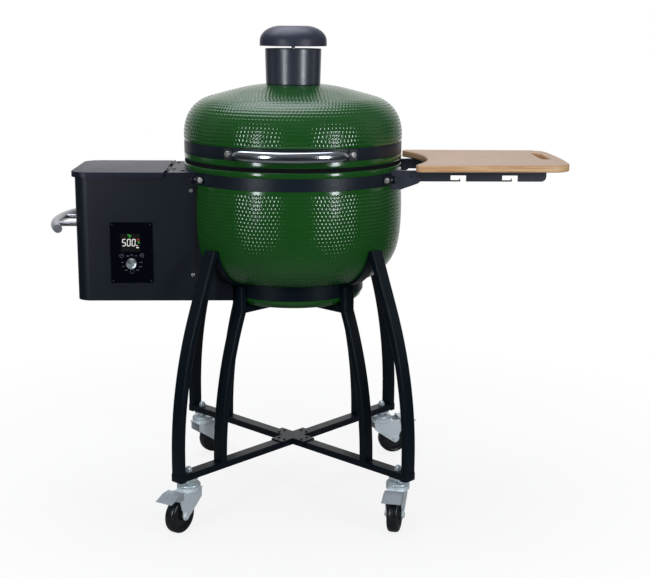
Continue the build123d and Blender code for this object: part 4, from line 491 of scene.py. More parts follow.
MATERIALS = {
    "green_glaze": green_glaze(),
    "bare_clay": fired_clay(),
    "felt": felt(),
    "band_coat": powder_coat("band_coat", (0.0072, 0.0108, 0.0178), 0.36, 0.28),
    "chimney_coat": powder_coat("chimney_coat", (0.024, 0.029, 0.044), 0.30, 0.95),
    "cap_coat": powder_coat("cap_coat", (0.020, 0.023, 0.042), 0.44, 0.6),
    "hopper_top_coat": powder_coat("hopper_top_coat", (0.0080, 0.0086, 0.0225), 0.40, 0.28),
    "hopper_coat": powder_coat("hopper_coat", (0.0060, 0.0088, 0.0142), 0.40, 0.28),
    "shelf_coat": powder_coat("shelf_coat", (0.026, 0.029, 0.041), 0.42, 0.4),
    "stand_coat": powder_coat("stand_coat", (0.0016, 0.0050, 0.0088), 0.36, 0.22),
    "chrome": metal("polished_chrome", (0.62, 0.64, 0.68), 0.13),
    "zinc": plated("zinc_plate", (0.60, 0.69, 0.73), (0.80, 0.88, 0.91), 0.5),
    "fork_zinc": plated("fork_zinc", (0.78, 0.88, 0.93), (0.92, 0.98, 1.0), 0.28),
    "spun_face_painted_fan": spun_face_painted_fan(),
    "satin_chrome": metal("satin_chrome", (0.44, 0.45, 0.47), 0.36),
    "pedal_steel": plated("pedal_steel", (0.44, 0.49, 0.53), (0.70, 0.76, 0.80), 0.5),
    "lcd": plastic("lcd_window", (0.0045, 0.0045, 0.0040), 0.25),
    "lit_white": glowing("lit_white", (1.0, 1.0, 0.96), 0.95),
    "lit_green": glowing("lit_green", (0.015, 0.32, 0.02), 0.9),
    "lit_red": glowing("lit_red", (0.33, 0.02, 0.01), 0.8),
    "print_grey": printed("print_grey", (0.12, 0.135, 0.15)),
    "stainless": metal("stainless", (0.55, 0.55, 0.53), 0.28, (0.05, 1, 1)),
    "sheet_zinc": metal("galvanised", (0.50, 0.52, 0.53), 0.42, spots=0.25),
    "bolt": plated("bolt_steel", (0.38, 0.36, 0.34), (0.68, 0.66, 0.63), 0.8),
    "dark_screw": plated("dark_screw", (0.020, 0.020, 0.023), (0.050, 0.050, 0.055), 0.5),
    "matte_black": plastic("matte_black", (0.010, 0.011, 0.012), 0.55),
    "gloss_black": glass_panel(),
    "rubber": rubber(),
    # black strip's colour: painted shade of the gap beside the hopper
    "painted_gap_shade": plastic("painted_gap_shade", (0.0012, 0.0014, 0.0018), 0.8),
    "wheel_core": plastic("wheel_core", (0.009, 0.011, 0.013), 0.4),
    "bamboo": bamboo(),
}


# ---- mesh helpers
SAME_SPOT = 0.00002
FLAT_ANGLE = 0.6                # degrees: flatter joints between faces are dissolved
SHARP_ANGLE = 30.0              # degrees: sharper edges are rounded


def piece(name, shape, material, body, smooth_angle=38.0):
    """Turns a bmesh into an object that rides on a body."""
    mesh = bpy.data.meshes.new(name)
    bmesh.ops.recalc_face_normals(shape, faces=shape.faces)
    shape.to_mesh(mesh)
    shape.free()
    mesh.materials.append(MATERIALS[material])
    made = bpy.data.objects.new(name, mesh)
    bpy.context.collection.objects.link(made)
    smooth(made, smooth_angle)
    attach(made, body)
    return made


def smooth(thing, angle):
    """Smooth shading with sharp edges kept where faces meet at more than an angle."""
    mesh = thing.data
    for polygon in mesh.polygons:
        polygon.use_smooth = True
    mesh.set_sharp_from_angle(angle=math.radians(angle))


def with_bevel(thing, width):
    """Rounds the sharp edges of a piece for good."""
    modifier = thing.modifiers.new("bevel", "BEVEL")
    modifier.width = width
    modifier.segments = 2
    modifier.limit_method = "ANGLE"
    modifier.angle_limit = math.radians(SHARP_ANGLE)
    modifier.harden_normals = True
    modifier.use_clamp_overlap = True
    graph = bpy.context.evaluated_depsgraph_get()
    graph.update()
    mesh = bpy.data.meshes.new_from_object(thing.evaluated_get(graph))
    thing.modifiers.clear()
    thing.data = mesh


def dressed(node, material, bevel):
    """A finished copy of a CAD node, with its edges rounded."""
    shape = bmesh.new()
    shape.from_mesh(frame["nodes"][node].data)
    bmesh.ops.remove_doubles(shape, verts=shape.verts, dist=SAME_SPOT)
    bmesh.ops.dissolve_limit(
        shape, angle_limit=math.radians(FLAT_ANGLE), verts=shape.verts, edges=shape.edges)
    made = piece(f"{node}_finished", shape, material, BODY_OF[node])
    with_bevel(made, bevel)
    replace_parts(made, node)
    return made


def repaint(thing, material, wanted):
    """Gives another material to the faces whose middle is wanted."""
    mesh = thing.data
    mesh.materials.append(MATERIALS[material])
    for polygon in mesh.polygons:
        if wanted(polygon.center):
            polygon.material_index = 1


def skin(shape, low, high):
    """Faces of the strip between two rings of as many points."""
    count = len(low)
    for step in range(count):
        after = (step + 1) % count
        shape.faces.new((low[step], low[after], high[after], high[step]))


def lathe(profile, steps, closed=True):
    """Turns (radius, height) points round the vertical."""
    shape = bmesh.new()
    rings = []
    for radius, height in profile:
        ring = []
        for step in range(steps):
            turn = 2 * math.pi * step / steps
            ring.append(shape.verts.new((radius * math.cos(turn), radius * math.sin(turn), height)))
        rings.append(ring)
    for low, high in zip(rings, rings[1:]):
        skin(shape, low, high)
    if closed:
        skin(shape, rings[-1], rings[0])
    return shape


def arc_points(points, heading, distance=0.0, spacing=0.004):
    """Points along arcs that meet without a corner, moved away from the axis by a distance."""
    turn = math.radians(heading)
    outward = -1 if heading > 0 else 1
    result = []
    for start, end in zip(points, points[1:]):
        chord = math.hypot(end[0] - start[0], end[1] - start[1])
        swing = math.atan2(end[1] - start[1], end[0] - start[0]) - turn
        swing = math.atan2(math.sin(swing), math.cos(swing))
        steps = max(2, round(chord / spacing))
        for step in range(steps):
            part = 2 * swing * step / steps
            reach = chord * math.sin(part / 2) / math.sin(swing)
            way = turn + part / 2
            x = start[0] + reach * math.cos(way)
            z = start[1] + reach * math.sin(way)
            result.append((x, z, turn + part))
        turn += 2 * swing
    result.append((*points[-1], turn))
    return [(x - outward * distance * math.sin(facing), z + outward * distance * math.cos(facing))
            for x, z, facing in result]


def evenly(points, spacing):
    """Points along a polyline that are the same distance apart, about the spacing."""
    lengths = [0.0]
    for start, end in zip(points, points[1:]):
        lengths.append(lengths[-1] + math.hypot(end[0] - start[0], end[1] - start[1]))
    count = max(1, round(lengths[-1] / spacing))
    result = []
    index = 0
    for step in range(count + 1):
        wanted = lengths[-1] * step / count
        while index < len(lengths) - 2 and lengths[index + 1] < wanted:
            index += 1
        share = min(1.0, (wanted - lengths[index]) / (lengths[index + 1] - lengths[index]))
        a, b = points[index], points[index + 1]
        result.append((a[0] + share * (b[0] - a[0]), a[1] + share * (b[1] - a[1])))
    return result


# ---- ceramic body
DIMPLE_PITCH = 0.0098
DIMPLE_DEPTH = 0.00036
FIRST_ROW_START = 0.04          # share of a row at which its rings begin
BASE_SIDE = [(0.3020, 0.912), (0.3036, 0.800), (0.2975, 0.747), (0.2620, 0.677), (0.1960, 0.650)]
BASE_SIDE_START = -85.7
LID_SIDE = [(0.3026, 1.036), (0.2975, 1.082), (0.2706, 1.1256), (0.2320, 1.147), (0.1530, 1.168),
            (0.0760, 1.1805)]
LID_SIDE_START = 87.0
WALL = 0.026
LIP_RADIUS = 0.302
FLUE_RADIUS = 0.066
BAND_SEAT_DEPTH = 0.0028
BAND_GAP = 0.0003
LINING_SPACING = 0.012
LINING_ROUND = 0.003
LIP_ROUND = 0.004
BASE_SHOULDER_Z = 0.640
BASE_WAIST_Z = 0.612
FOOT_RADIUS = 0.186
FOOT_ROUND = 0.008
FOOT_MIDDLE_RADIUS = 0.120
TIP_RADIUS = 0.001
SAMPLES_ROUND = 4
SAMPLES_ALONG = 3
CERAMIC_STEPS = 288


class Shell:
    """Grows a turned shell ring by ring, with rows of pressed dimples on its side."""

    def __init__(self):
        self.points = []
        self.rows = []
        self.faces = []
        self.counts = []
        self.last = None

    def ring(self, radius, height, steps, row=0.0, inward=(0.0, 0.0), depths=None):
        ring = []
        for step in range(steps):
            turn = 2 * math.pi * step / steps
            depth = depths[step % len(depths)] if depths else 0.0
            reach = radius + inward[0] * depth
            ring.append(len(self.points))
            self.points.append((reach * math.cos(turn), reach * math.sin(turn), height + inward[1] * depth))
            self.rows.append(row)
        return ring

    def join(self, ring, count=0):
        """Closes the strip between the last ring and this one, also where their steps differ."""
        low = self.last
        self.last = ring
        if low is None:
            return
        a, b = len(low), len(ring)
        if a == b:
            for step in range(a):
                after = (step + 1) % a
                self.faces.append((low[step], low[after], ring[after], ring[step]))
                self.counts.append(count)
            return
        i = j = 0
        while i < a or j < b:
            if j >= b or (i < a and (i + 1) * b <= (j + 1) * a):
                self.faces.append((low[i % a], low[(i + 1) % a], ring[j % b]))
                i += 1
            else:
                self.faces.append((low[i % a], ring[(j + 1) % b], ring[j % b]))
                j += 1
            self.counts.append(count)

    def plain(self, profile, steps):
        for radius, height in profile:
            self.join(self.ring(radius, height, steps))

    def dimpled(self, rows):
        for index, (start, end) in enumerate(zip(rows, rows[1:])):
            count = round(math.pi * (start[0] + end[0]) / DIMPLE_PITCH)
            steps = count * SAMPLES_ROUND
            way = (end[0] - start[0], end[1] - start[1])
            length = math.hypot(*way)
            inward = (-abs(way[1]) / length, math.copysign(way[0] / length, way[0] * way[1]))
            shift = 0.5 * (index % 2)
            if len(self.last) != steps:
                near = FIRST_ROW_START
                self.join(self.ring(
                    start[0] + near * way[0], start[1] + near * way[1], steps, index + near), count)
            for sample in range(1, SAMPLES_ALONG + 1):
                share = sample / SAMPLES_ALONG
                depths = []
                for column in range(SAMPLES_ROUND * 2):
                    du = (column / SAMPLES_ROUND + shift) % 1.0 - 0.5
                    reach = math.hypot(du, share - 0.5)
                    depths.append(DIMPLE_DEPTH * max(0.0, 1 - 4 * reach * reach))
                self.join(self.ring(start[0] + share * way[0], start[1] + share * way[1], steps,
                                    index + share, inward, depths), count)

    def finish(self, name, node, material):
        mesh = bpy.data.meshes.new(name)
        mesh.from_pydata(self.points, [], self.faces)
        shape = bmesh.new()
        shape.from_mesh(mesh)
        bmesh.ops.recalc_face_normals(shape, faces=shape.faces)
        shape.to_mesh(mesh)
        shape.free()
        mesh.attributes.new("row", "FLOAT", "POINT").data.foreach_set("value", self.rows)
        mesh.attributes.new("dimple_count", "FLOAT", "FACE").data.foreach_set("value", self.counts)
        mesh.materials.append(MATERIALS[material])
        made = bpy.data.objects.new(name, mesh)
        bpy.context.collection.objects.link(made)
        smooth(made, 50.0)
        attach(made, BODY_OF[node])
        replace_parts(made, node)


def dimpled_shell(name, node, plain_before, dimpled, plain_after):
    """Glazed shell, whose side carries the rows of dimples."""
    rows = evenly(dimpled, DIMPLE_PITCH)
    shell = Shell()
    shell.plain(plain_before, CERAMIC_STEPS)
    shell.join(shell.ring(*rows[0], CERAMIC_STEPS))
    shell.dimpled(rows)
    shell.plain(plain_after, CERAMIC_STEPS)
    shell.join(list(range(CERAMIC_STEPS)))      # back to the first ring
    shell.finish(name, node, "green_glaze")


def round_over(corner, before, after, radius, steps=4):
    """Points of a small round at a corner between two directions."""
    start = (corner[0] + before[0] * radius, corner[1] + before[1] * radius)
    end = (corner[0] + after[0] * radius, corner[1] + after[1] * radius)
    result = []
    for step in range(steps + 1):
        share = step / steps
        a = ((1 - share) ** 2, 2 * share * (1 - share), share ** 2)
        result.append((a[0] * start[0] + a[1] * corner[0] + a[2] * end[0],
                       a[0] * start[1] + a[1] * corner[1] + a[2] * end[1]))
    return result


def lip_profile(rim, near, far, seat, way):
    """Rounded lip and the groove for the band; the way is up for the lid and down for the base."""
    inner = LIP_RADIUS - WALL
    return [(inner, rim + way * LINING_ROUND),
            *round_over((inner, rim), (0, way), (1, 0), LINING_ROUND),
            *round_over((LIP_RADIUS, rim), (-1, 0), (0, way), LIP_ROUND),
            *round_over((LIP_RADIUS, near), (0, -way), (-1, 0), 0.001, 2),
            (seat, near), (seat, far),
            *round_over((LIP_RADIUS, far), (-1, 0), (0, way), 0.0012, 3)]


def add_ceramic():
    low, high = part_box("base_shell")
    band_low, band_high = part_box("base_band")
    seat = band_high.x - BAND_SEAT_DEPTH
    lining = arc_points(BASE_SIDE, BASE_SIDE_START, -WALL, LINING_SPACING)
    foot = low.z
    waist = BASE_SIDE[-1][0]
    before = lip_profile(high.z, band_high.z + BAND_GAP, band_low.z - BAND_GAP, seat, -1)
    after = [(waist, BASE_SHOULDER_Z), (waist, BASE_WAIST_Z), (waist, foot + 0.018),
             (waist - 0.0035, foot + 0.009),
             *round_over((FOOT_RADIUS, foot), (0.35, 0.94), (-1, 0), FOOT_ROUND),
             (FOOT_MIDDLE_RADIUS, foot), (TIP_RADIUS, foot), (TIP_RADIUS, foot + WALL),
             (waist - WALL, foot + WALL), (waist - WALL, lining[-1][1]), *reversed(lining)]
    dimpled_shell("ceramic_base", "base_shell", before, arc_points(BASE_SIDE, BASE_SIDE_START), after)

    low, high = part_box("lid_shell")
    band_low, band_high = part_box("lid_band")
    side = arc_points(LID_SIDE, LID_SIDE_START)
    lining = arc_points(LID_SIDE, LID_SIDE_START, -WALL, LINING_SPACING)
    crown = side[-1][1]
    before = lip_profile(low.z, band_low.z - BAND_GAP, band_high.z + BAND_GAP, seat, 1)
    after = [(FLUE_RADIUS + 0.003, crown), (FLUE_RADIUS, crown - 0.002), (FLUE_RADIUS, lining[-1][1]),
             *reversed(lining)]
    dimpled_shell("ceramic_lid", "lid_shell", before, side, after)


# ---- bands and gaskets
BAND_THICKNESS = 0.0025
BAND_ROUND = 0.0011
GASKET_WIDTH = 0.022
GASKET_ROUND = 0.002
FUZZ_SIZE = 0.0008
FUZZ_SCALE = 160.0


def strap_profile(node, thickness, rounding, edge, levels=()):
    """Section of a flat ring that fills the height of a node, with its outer edges rounded."""
    low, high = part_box(node)
    outer = high.x
    inner = outer - thickness
    return [(inner, low.z + edge), *round_over((outer, low.z), (-1, 0), (0, 1), rounding),
            *[(outer, low.z + share * (high.z - low.z)) for share in levels],
            *round_over((outer, high.z), (0, -1), (-1, 0), rounding), (inner, high.z - edge)]


def add_bands():
    dressed("base_band", "band_coat", 0.0007)
    profile = strap_profile("lid_band", BAND_THICKNESS, BAND_ROUND, 0.0005, [0.5])
    made = piece("lid_band_strap", lathe(profile, CERAMIC_STEPS), "band_coat", BODY_OF["lid_band"], 50)
    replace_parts(made, "lid_band")
    for node in ("base_gasket", "lid_gasket"):
        shape = lathe(strap_profile(node, GASKET_WIDTH, GASKET_ROUND, 0.001), CERAMIC_STEPS)
        for vertex in shape.verts:
            fuzz = 1.0 + FUZZ_SIZE * noise.noise(vertex.co * FUZZ_SCALE)
            vertex.co.x *= fuzz
            vertex.co.y *= fuzz
        made = piece(f"{node}_felt", shape, "felt", BODY_OF[node], 60)
        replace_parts(made, node)


# ---- chimney
CHIMNEY_FOOT_RADIUS = 0.075
CHIMNEY_NECK_RADIUS = 0.0657
CHIMNEY_SEAT_Z = 1.1808
CHIMNEY_WALL = 0.0025
CHIMNEY_RINGS = 12
CAP_FLAT_RADIUS = 0.034
CAP_SKIRT = 0.013
CAP_BOSS_RADIUS = 0.011
CAP_BOSS_DEPTH = 0.030
CAP_BORE_RADIUS = 0.0051
CAP_BORE_TOP = 0.006
CAP_TIP_RADIUS = 0.0006
TURNED_STEPS = 160


def dome_points(radius, low, top, steps):
    """Quarter oval from the flat top of the rain cap down to its skirt."""
    result = []
    for step in range(steps + 1):
        turn = math.radians(90 - 90 * step / steps)
        result.append((CAP_FLAT_RADIUS + (radius - CAP_FLAT_RADIUS) * math.cos(turn),
                       low + (top - low) * math.sin(turn)))
    return result


def add_chimney():
    low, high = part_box("chimney")
    foot, top, seat, wall = CHIMNEY_FOOT_RADIUS, high.x, CHIMNEY_SEAT_Z, CHIMNEY_WALL
    inner = CHIMNEY_NECK_RADIUS - wall
    profile = [(inner, low.z), (CHIMNEY_NECK_RADIUS, low.z), (CHIMNEY_NECK_RADIUS, seat),
               (foot - 0.001, seat), (foot, seat + 0.001)]
    for step in range(1, CHIMNEY_RINGS):
        share = step / CHIMNEY_RINGS
        profile.append((foot + share * (top - foot), seat + 0.001 + share * (high.z - seat - 0.002)))
    profile += [*round_over((top, high.z), (0, -1), (-1, 0), 0.001, 3), (top - wall, high.z - 0.001),
                (foot - wall, seat + 0.003), (inner, seat + 0.003)]
    made = piece("chimney_tube", lathe(profile, TURNED_STEPS), "chimney_coat", BODY_OF["chimney"], 40)
    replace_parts(made, "chimney")

    low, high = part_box("chimney_cap")
    radius, top = high.x, high.z
    skirt = low.z + CAP_SKIRT
    inside_radius = radius - wall
    bore_top = top - CAP_BORE_TOP
    boss_low = top - CAP_BOSS_DEPTH
    profile = [(CAP_TIP_RADIUS, top), (CAP_FLAT_RADIUS * 0.6, top), *dome_points(radius, skirt, top, 16),
               (radius, low.z + 0.002), *round_over((radius, low.z), (0, 1), (-1, 0), 0.0012, 3),
               (inside_radius, low.z + 0.001), *reversed(dome_points(inside_radius, skirt, top - wall, 8)),
               (CAP_BOSS_RADIUS, top - wall), (CAP_BOSS_RADIUS, boss_low), (CAP_BORE_RADIUS, boss_low),
               (CAP_BORE_RADIUS, bore_top), (CAP_TIP_RADIUS, bore_top)]
    shape = lathe(profile, TURNED_STEPS, closed=False)
    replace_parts(piece("rain_cap", shape, "cap_coat", BODY_OF["chimney_cap"], 45), "chimney_cap")
    dressed("cap_rod", "stainless", 0.0008)


# ---- lid handle
HANDLE_HALF_SPAN = 0.147
HANDLE_REACH = 0.345
HANDLE_BOW = 0.056
HANDLE_MIDDLE = (0.010, 0.014)  # half depth and half height
HANDLE_END = (0.005, 0.0065)
HANDLE_TURN = math.radians(-2.0)
HANDLE_BLUNTNESS = 16
HANDLE_STEPS = 72
HANDLE_SIDES = 32


def add_lid_handle():
    """Bowed oval bar, nearly full to its ends, turned a little round the lid."""
    low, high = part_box("lid_handle")
    height = (low.z + high.z) / 2
    shape = bmesh.new()
    rings = []
    for step in range(HANDLE_STEPS + 1):
        share = math.sin(math.pi / 2 * (2 * step / HANDLE_STEPS - 1))
        slope = 2 * HANDLE_BOW * share / HANDLE_HALF_SPAN
        full = 1 - share ** HANDLE_BLUNTNESS
        deep, tall = (end + (middle - end) * full for middle, end in zip(HANDLE_MIDDLE, HANDLE_END))
        out = Vector((-slope, 1, 0)).normalized() * deep
        up = Vector((0, 0, tall))
        middle = Vector((HANDLE_HALF_SPAN * share, -HANDLE_REACH + HANDLE_BOW * share * share, height))
        ring = []
        for side in range(HANDLE_SIDES):
            turn = 2 * math.pi * side / HANDLE_SIDES
            ring.append(shape.verts.new(middle + out * math.cos(turn) + up * math.sin(turn)))
        rings.append(ring)
    for before, after in zip(rings, rings[1:]):
        skin(shape, before, after)
    shape.faces.new(rings[0])
    shape.faces.new(rings[-1])
    bmesh.ops.rotate(shape, matrix=Matrix.Rotation(HANDLE_TURN, 3, "Z"), verts=shape.verts)
    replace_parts(piece("lid_handle_bar", shape, "chrome", BODY_OF["lid_handle"], 50), "lid_handle")


# ---- control panel
PRINT_THICKNESS = 0.0001
LIT_THICKNESS = 0.0002
DISPLAY_X = -0.0025             # from the middle of the panel, like all that follows
DISPLAY_Z = 0.0276
DISPLAY_SIZE = (0.052, 0.0492)
DIGIT_X = -0.0198
DIGIT_Z = 0.0279
DIGIT_STEP = 0.0130
DIGIT_SIZE = (0.0080, 0.0178)
DIGIT_STROKE = 0.26             # share of a digit's width
DIGIT_LEAN = 0.08
SEGMENT_SHARE = 0.97            # of the length from corner to corner
MARK_SIZE = (0.0072, 0.0019)
MARK_FIRST_ANGLE = -52.0
MARK_STEP_ANGLE = 28.4
MARK_STEPS = (0, 1, 2, 4, 5, 6, 8, 9, 10)   # signs stand where a step is left out
MARK_RADII = (0.0245, 0.0225)   # beside the knob, and above and below it
MARK_SPREAD = 1.02              # sideways
SIGN_PLACES = ((-0.0275, 0.0205), (0.0275, 0.0215), (0.0, -0.0230))
SIGN_RING = (0.0046, 0.0011)
SIGN_BAR = (0.0050, 0.0014)


def flat_shape(name, outlines, material, body, back, thickness=LIT_THICKNESS):
    """Thin raised shapes on the front of the panel, from outlines in x and z."""
    shape = bmesh.new()
    for outline in outlines:
        rear = [shape.verts.new((x, back, z)) for x, z in outline]
        front = [shape.verts.new((x, back - thickness, z)) for x, z in outline]
        skin(shape, rear, front)
        shape.faces.new(front)
        shape.faces.new(list(reversed(rear)))
    piece(name, shape, material, body, 30)


def bar_outline(x, z, length, width, turn=0.0, pointed=False):
    """Bar round a centre; pointed, its ends taper as display segments do."""
    half, side = length / 2, width / 2
    if pointed:
        corners = [(-half, 0), (-half + side, side), (half - side, side), (half, 0),
                   (half - side, -side), (-half + side, -side)]
    else:
        corners = [(-half, -side), (-half, side), (half, side), (half, -side)]
    c, s = math.cos(turn), math.sin(turn)
    return [(x + a * c - b * s, z + a * s + b * c) for a, b in corners]


def digit_outlines(x, z, segments):
    """Seven-segment digit; the segments are named a to g from the top round to the middle."""
    width, height = DIGIT_SIZE
    half_w, half_h = width / 2, height / 2
    places = {
        "a": (0, half_h, width, 0), "d": (0, -half_h, width, 0), "g": (0, 0, width, 0),
        "b": (half_w, half_h / 2, half_h, 1), "c": (half_w, -half_h / 2, half_h, 1),
        "f": (-half_w, half_h / 2, half_h, 1), "e": (-half_w, -half_h / 2, half_h, 1)}
    outlines = []
    for segment in segments:
        dx, dz, length, upright = places[segment]
        turn = math.pi / 2 * upright
        outline = bar_outline(dx, dz, length * SEGMENT_SHARE, width * DIGIT_STROKE, turn, True)
        outlines.append([(x + a + DIGIT_LEAN * b, z + b) for a, b in outline])
    return outlines


def ring_outlines(x, z, radius, width, steps=20):
    outlines = []
    for step in range(steps):
        a, b = 2 * math.pi * step / steps, 2 * math.pi * (step + 1) / steps
        outlines.append([(x + r * math.cos(t), z + r * math.sin(t))
                         for r, t in ((radius, a), (radius + width, a), (radius + width, b), (radius, b))])
    return outlines


def add_panel_details():
    """Display window with its lit signs, and the printed marks round the knob."""
    low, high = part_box("control_panel")
    body = BODY_OF["control_panel"]
    front = low.y
    mid_x, mid_z = (low.x + high.x) / 2, (low.z + high.z) / 2
    window = bar_outline(mid_x + DISPLAY_X, mid_z + DISPLAY_Z, *DISPLAY_SIZE)
    flat_shape("display_window", [window], "lcd", body, front, PRINT_THICKNESS)
    lift = front - PRINT_THICKNESS
    digits = []
    for index, segments in enumerate(("afgcd", "abcdef", "abcdef")):
        digits += digit_outlines(mid_x + DIGIT_X + DIGIT_STEP * index, mid_z + DIGIT_Z, segments)
    digits.append(bar_outline(mid_x + 0.0150, mid_z + 0.0195, 0.0032, 0.0028))
    digits.append(bar_outline(mid_x + 0.0165, mid_z + 0.0142, 0.0068, 0.0024))
    flat_shape("display_digits", digits, "lit_white", body, lift)
    leaf = [bar_outline(mid_x - 0.0058, mid_z + 0.0482, 0.0100, 0.0036, -0.30, True),
            bar_outline(mid_x - 0.0030, mid_z + 0.0442, 0.0085, 0.0034, 0.55, True)]
    flat_shape("display_leaf", leaf, "lit_green", body, lift)
    level_low = bar_outline(mid_x + 0.0200, mid_z + 0.0285, 0.0060, 0.0040, 2.2)
    flat_shape("display_level_low", [level_low], "lit_green", body, lift)
    level_high = bar_outline(mid_x + 0.0185, mid_z + 0.0355, 0.0070, 0.0055, 2.5)
    flat_shape("display_level_high", [level_high], "lit_red", body, lift)

    knob_x, knob_z = KNOB_CENTRE.x, KNOB_CENTRE.z
    marks = []
    for step in MARK_STEPS:
        turn = math.radians(MARK_FIRST_ANGLE + MARK_STEP_ANGLE * step)
        spread = MARK_RADII[0] if abs(math.cos(turn)) > 0.5 else MARK_RADII[1]
        x, z = spread * MARK_SPREAD * math.cos(turn), spread * math.sin(turn)
        marks.append(bar_outline(knob_x + x, knob_z + z, *MARK_SIZE))
    signs = [(knob_x + x, knob_z + z) for x, z in SIGN_PLACES]
    for place in signs:
        marks += ring_outlines(*place, *SIGN_RING)
    for place in signs[:2]:
        marks.append(bar_outline(*place, *SIGN_BAR))
    flat_shape("dial_marks", marks, "print_grey", body, front, PRINT_THICKNESS)


KNOB_PANEL_GAP = 0.0003
KNOB_STEM_RADIUS = 0.0031
KNOB_STEM_DEPTH = 0.010
KNOB_TIP_RADIUS = 0.0004
KNOB_DISH = 0.0004
KNOB_RIBS = 36
KNOB_RIB_SHARE = 0.022


def add_knob():
    """Turned knob with a ribbed skirt and a slightly dished face."""
    low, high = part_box("control_knob")
    radius = (high.x - low.x) / 2
    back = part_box("control_panel")[0].y - KNOB_PANEL_GAP
    depth = back - low.y
    dish = depth - KNOB_DISH
    profile = [(KNOB_TIP_RADIUS, dish), (radius * 0.80, dish), (radius * 0.86, depth),
               (radius * 0.93, depth), (radius * 0.985, depth - 0.0008), (radius, depth - 0.002),
               (radius, 0.0006), (radius - 0.0008, 0.0), (KNOB_STEM_RADIUS, 0.0),
               (KNOB_STEM_RADIUS, -KNOB_STEM_DEPTH), (KNOB_TIP_RADIUS, -KNOB_STEM_DEPTH)]
    shape = lathe(profile, 72, closed=False)
    for vertex in shape.verts:
        x, y, z = vertex.co
        if math.hypot(x, y) > radius * 0.99:
            turn = math.atan2(y, x)
            shrink = 1 - KNOB_RIB_SHARE * (0.5 + 0.5 * math.cos(KNOB_RIBS * turn))
            x, y = x * shrink, y * shrink
        vertex.co = (KNOB_CENTRE.x + x, back - z, KNOB_CENTRE.z + y)
    made = piece("turned_knob", shape, "spun_face_painted_fan", BODY_OF["control_knob"], 35)
    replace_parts(made, "control_knob")


# ---- painted shade at the hopper edge
GAP_SHADE_WIDTH = 0.007
GAP_SHADE_THICKNESS = 0.0008


def add_hopper_gap_shade():
    """Black strip down the front wall, where the hopper meets the ceramic: painted shade of the gap between
    them.
    """
    low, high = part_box("hopper_shell")
    near_top = [vertex.co.x for vertex in frame["nodes"]["hopper_shell"].data.vertices
                if abs(vertex.co.y - low.y) < GAP_SHADE_THICKNESS / 4 and vertex.co.z > high.z - GAP_SHADE_WIDTH]
    right = max(near_top) - GAP_SHADE_THICKNESS
    size = (GAP_SHADE_WIDTH, GAP_SHADE_THICKNESS, high.z - low.z - GAP_SHADE_WIDTH)
    middle = (right - GAP_SHADE_WIDTH / 2, low.y - GAP_SHADE_THICKNESS / 2, (low.z + high.z) / 2)
    shape = bmesh.new()
    bmesh.ops.create_cube(shape, size=1.0)
    bmesh.ops.scale(shape, vec=size, verts=shape.verts)
    bmesh.ops.translate(shape, vec=middle, verts=shape.verts)
    # painted shade: a black strip where the gap between hopper and ceramic lies in shadow
    piece("hopper_gap_shade_strip", shape, "painted_gap_shade", BODY_OF["hopper_shell"], 30)


# ---- wheels
TYRE_INNER_SHARE = 0.76
TYRE_HALF_WIDTH = 0.016
HUB_RADIUS = 0.013
HUB_EDGE = 0.0006
WHEEL_BORE_RADIUS = 0.0054
CORE_DISH = 0.007
WHEEL_STEPS = 72


def other_face(section):
    """The mirror image of a section, on the wheel's other face."""
    return [(reach, -height) for reach, height in reversed(section)]


def add_wheel(corner):
    """Rubber tyre with a rounded tread and a groove inside its rim, on a dished plastic core."""
    node = f"caster_{corner}_wheel"
    spots = np.array([tuple(vertex.co) for vertex in frame["nodes"][node].data.vertices])
    middle = (spots.min(0) + spots.max(0)) / 2
    axle = Vector(np.linalg.eigh(np.cov((spots - middle).T))[1][:, 0]).normalized()
    hub_half = np.abs((spots - middle).dot(np.array(axle))).max()
    half = TYRE_HALF_WIDTH
    dished = half - CORE_DISH
    radius = (spots[:, 2].max() - spots[:, 2].min()) / 2
    rim = TYRE_INNER_SHARE * radius
    side = [(rim + 0.0004, half - 0.0022), (rim + 0.0014, half - 0.0006), (rim + 0.0030, half),
            (radius - 0.0075, half - 0.0003), (radius - 0.0045, half - 0.0014),
            (radius - 0.0022, half - 0.0034), (radius - 0.0008, half - 0.0062),
            (radius - 0.0001, half - 0.0100)]
    tyre = [(rim - 0.0004, 0.0), *side, (radius, 0.0), *other_face(side)]
    core = [(WHEEL_BORE_RADIUS, hub_half), (HUB_RADIUS - HUB_EDGE, hub_half),
            (HUB_RADIUS, hub_half - HUB_EDGE), (HUB_RADIUS + 0.002, dished), (rim - 0.006, dished),
            (rim - 0.003, half - 0.001), (rim, half - 0.001)]
    core += other_face(core)
    place = Matrix.Translation(Vector(middle)) @ axle.to_track_quat("Z", "Y").to_matrix().to_4x4()
    for name, profile, material in (("tyre", tyre, "rubber"), ("core", core, "wheel_core")):
        shape = lathe(profile, WHEEL_STEPS)
        bmesh.ops.transform(shape, matrix=place, verts=shape.verts)
        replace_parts(piece(f"{name}_{corner}", shape, material, BODY_OF[node], 32), node)


# ---- everything else
SHELF_BOLTS_FROM_X = 0.311
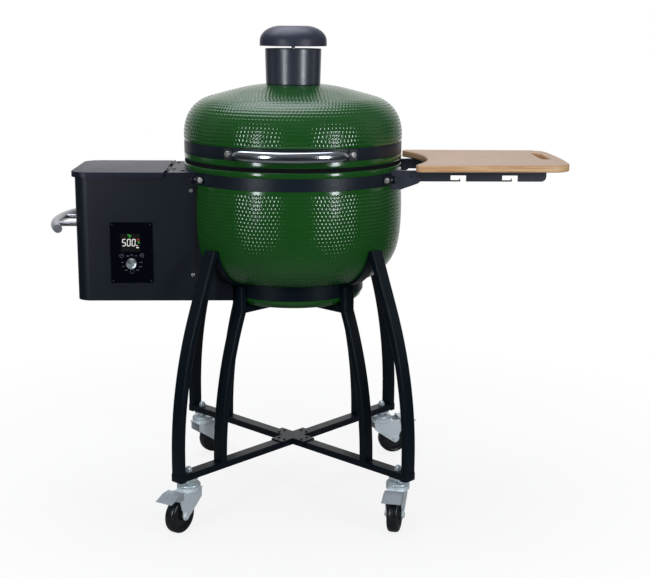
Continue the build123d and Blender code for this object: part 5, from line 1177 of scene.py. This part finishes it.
# Material and edge rounding of each node that keeps its own shape.
FINISHES = {
    "handle_mounts": ("chrome", 0.0012), "handle_bolts": ("bolt", 0.0006),
    "hinge_base": ("stand_coat", 0.0008), "hinge_lid": ("stand_coat", 0.0008),
    "hinge_pin": ("zinc", 0.0006), "hinge_springs": ("stainless", 0.0001),
    "firebox": ("bare_clay", 0.002), "fire_pot": ("stainless", 0.0006),
    "heat_deflector": ("stainless", 0.0006), "cooking_grate": ("stainless", 0.0006),
    "hopper_shell": ("hopper_coat", 0.0011), "hopper_top_plate": ("hopper_top_coat", 0.0007),
    "hopper_lid": ("hopper_top_coat", 0.0009), "hopper_hinge_pins": ("zinc", 0.0003),
    "pellet_bin": ("sheet_zinc", 0.0008), "hopper_handle": ("satin_chrome", 0.0005),
    "hopper_screws": ("bolt", 0.0003), "auger": ("sheet_zinc", 0.0003),
    "auger_tube": ("sheet_zinc", 0.0006), "auger_motor": ("matte_black", 0.001),
    "fan_frame": ("matte_black", 0.0006), "fan_rotor": ("matte_black", 0.0004),
    "power_inlet": ("matte_black", 0.0006), "outer_legs": ("stand_coat", 0.0006),
    "inner_legs": ("stand_coat", 0.0006), "cross_tubes": ("stand_coat", 0.0006),
    "stand_ring": ("stand_coat", 0.0008), "cradle_strips": ("stand_coat", 0.001),
    "hub_bracket": ("stand_coat", 0.0008), "hub_screws": ("stand_coat", 0.0005),
    "leg_shoes": ("stand_coat", 0.0007), "caster_stems": ("zinc", 0.0007),
    "shelf_rails": ("shelf_coat", 0.0007), "shelf_arms": ("shelf_coat", 0.0007),
    "base_bolts": ("bolt", 0.0006), "shelf_board": ("bamboo", 0.0005),
    "control_panel": ("gloss_black", 0.0006),
}


def add_finished_nodes():
    made = {node: dressed(node, *finish) for node, finish in FINISHES.items()}
    low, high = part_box("control_panel")
    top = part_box("hopper_top_plate")[0].z
    repaint(made["hopper_screws"], "dark_screw",
              lambda spot: spot.z > top or low.x < spot.x < high.x and low.z < spot.z < high.z)
    repaint(made["base_bolts"], "shelf_coat", lambda spot: spot.x > SHELF_BOLTS_FROM_X)
    for corner in ("front_left", "front_right", "back_left", "back_right"):
        dressed(f"caster_{corner}_fork", "fork_zinc", 0.0006)
        add_wheel(corner)
        dressed(f"caster_{corner}_pedal", "pedal_steel", 0.0006)


bpy.context.scene.view_settings.view_transform = "Standard"
add_camera()
add_world()
add_stage()
add_lights()
add_ceramic()
add_bands()
add_chimney()
add_lid_handle()
add_panel_details()
add_knob()
add_hopper_gap_shade()
add_finished_nodes()
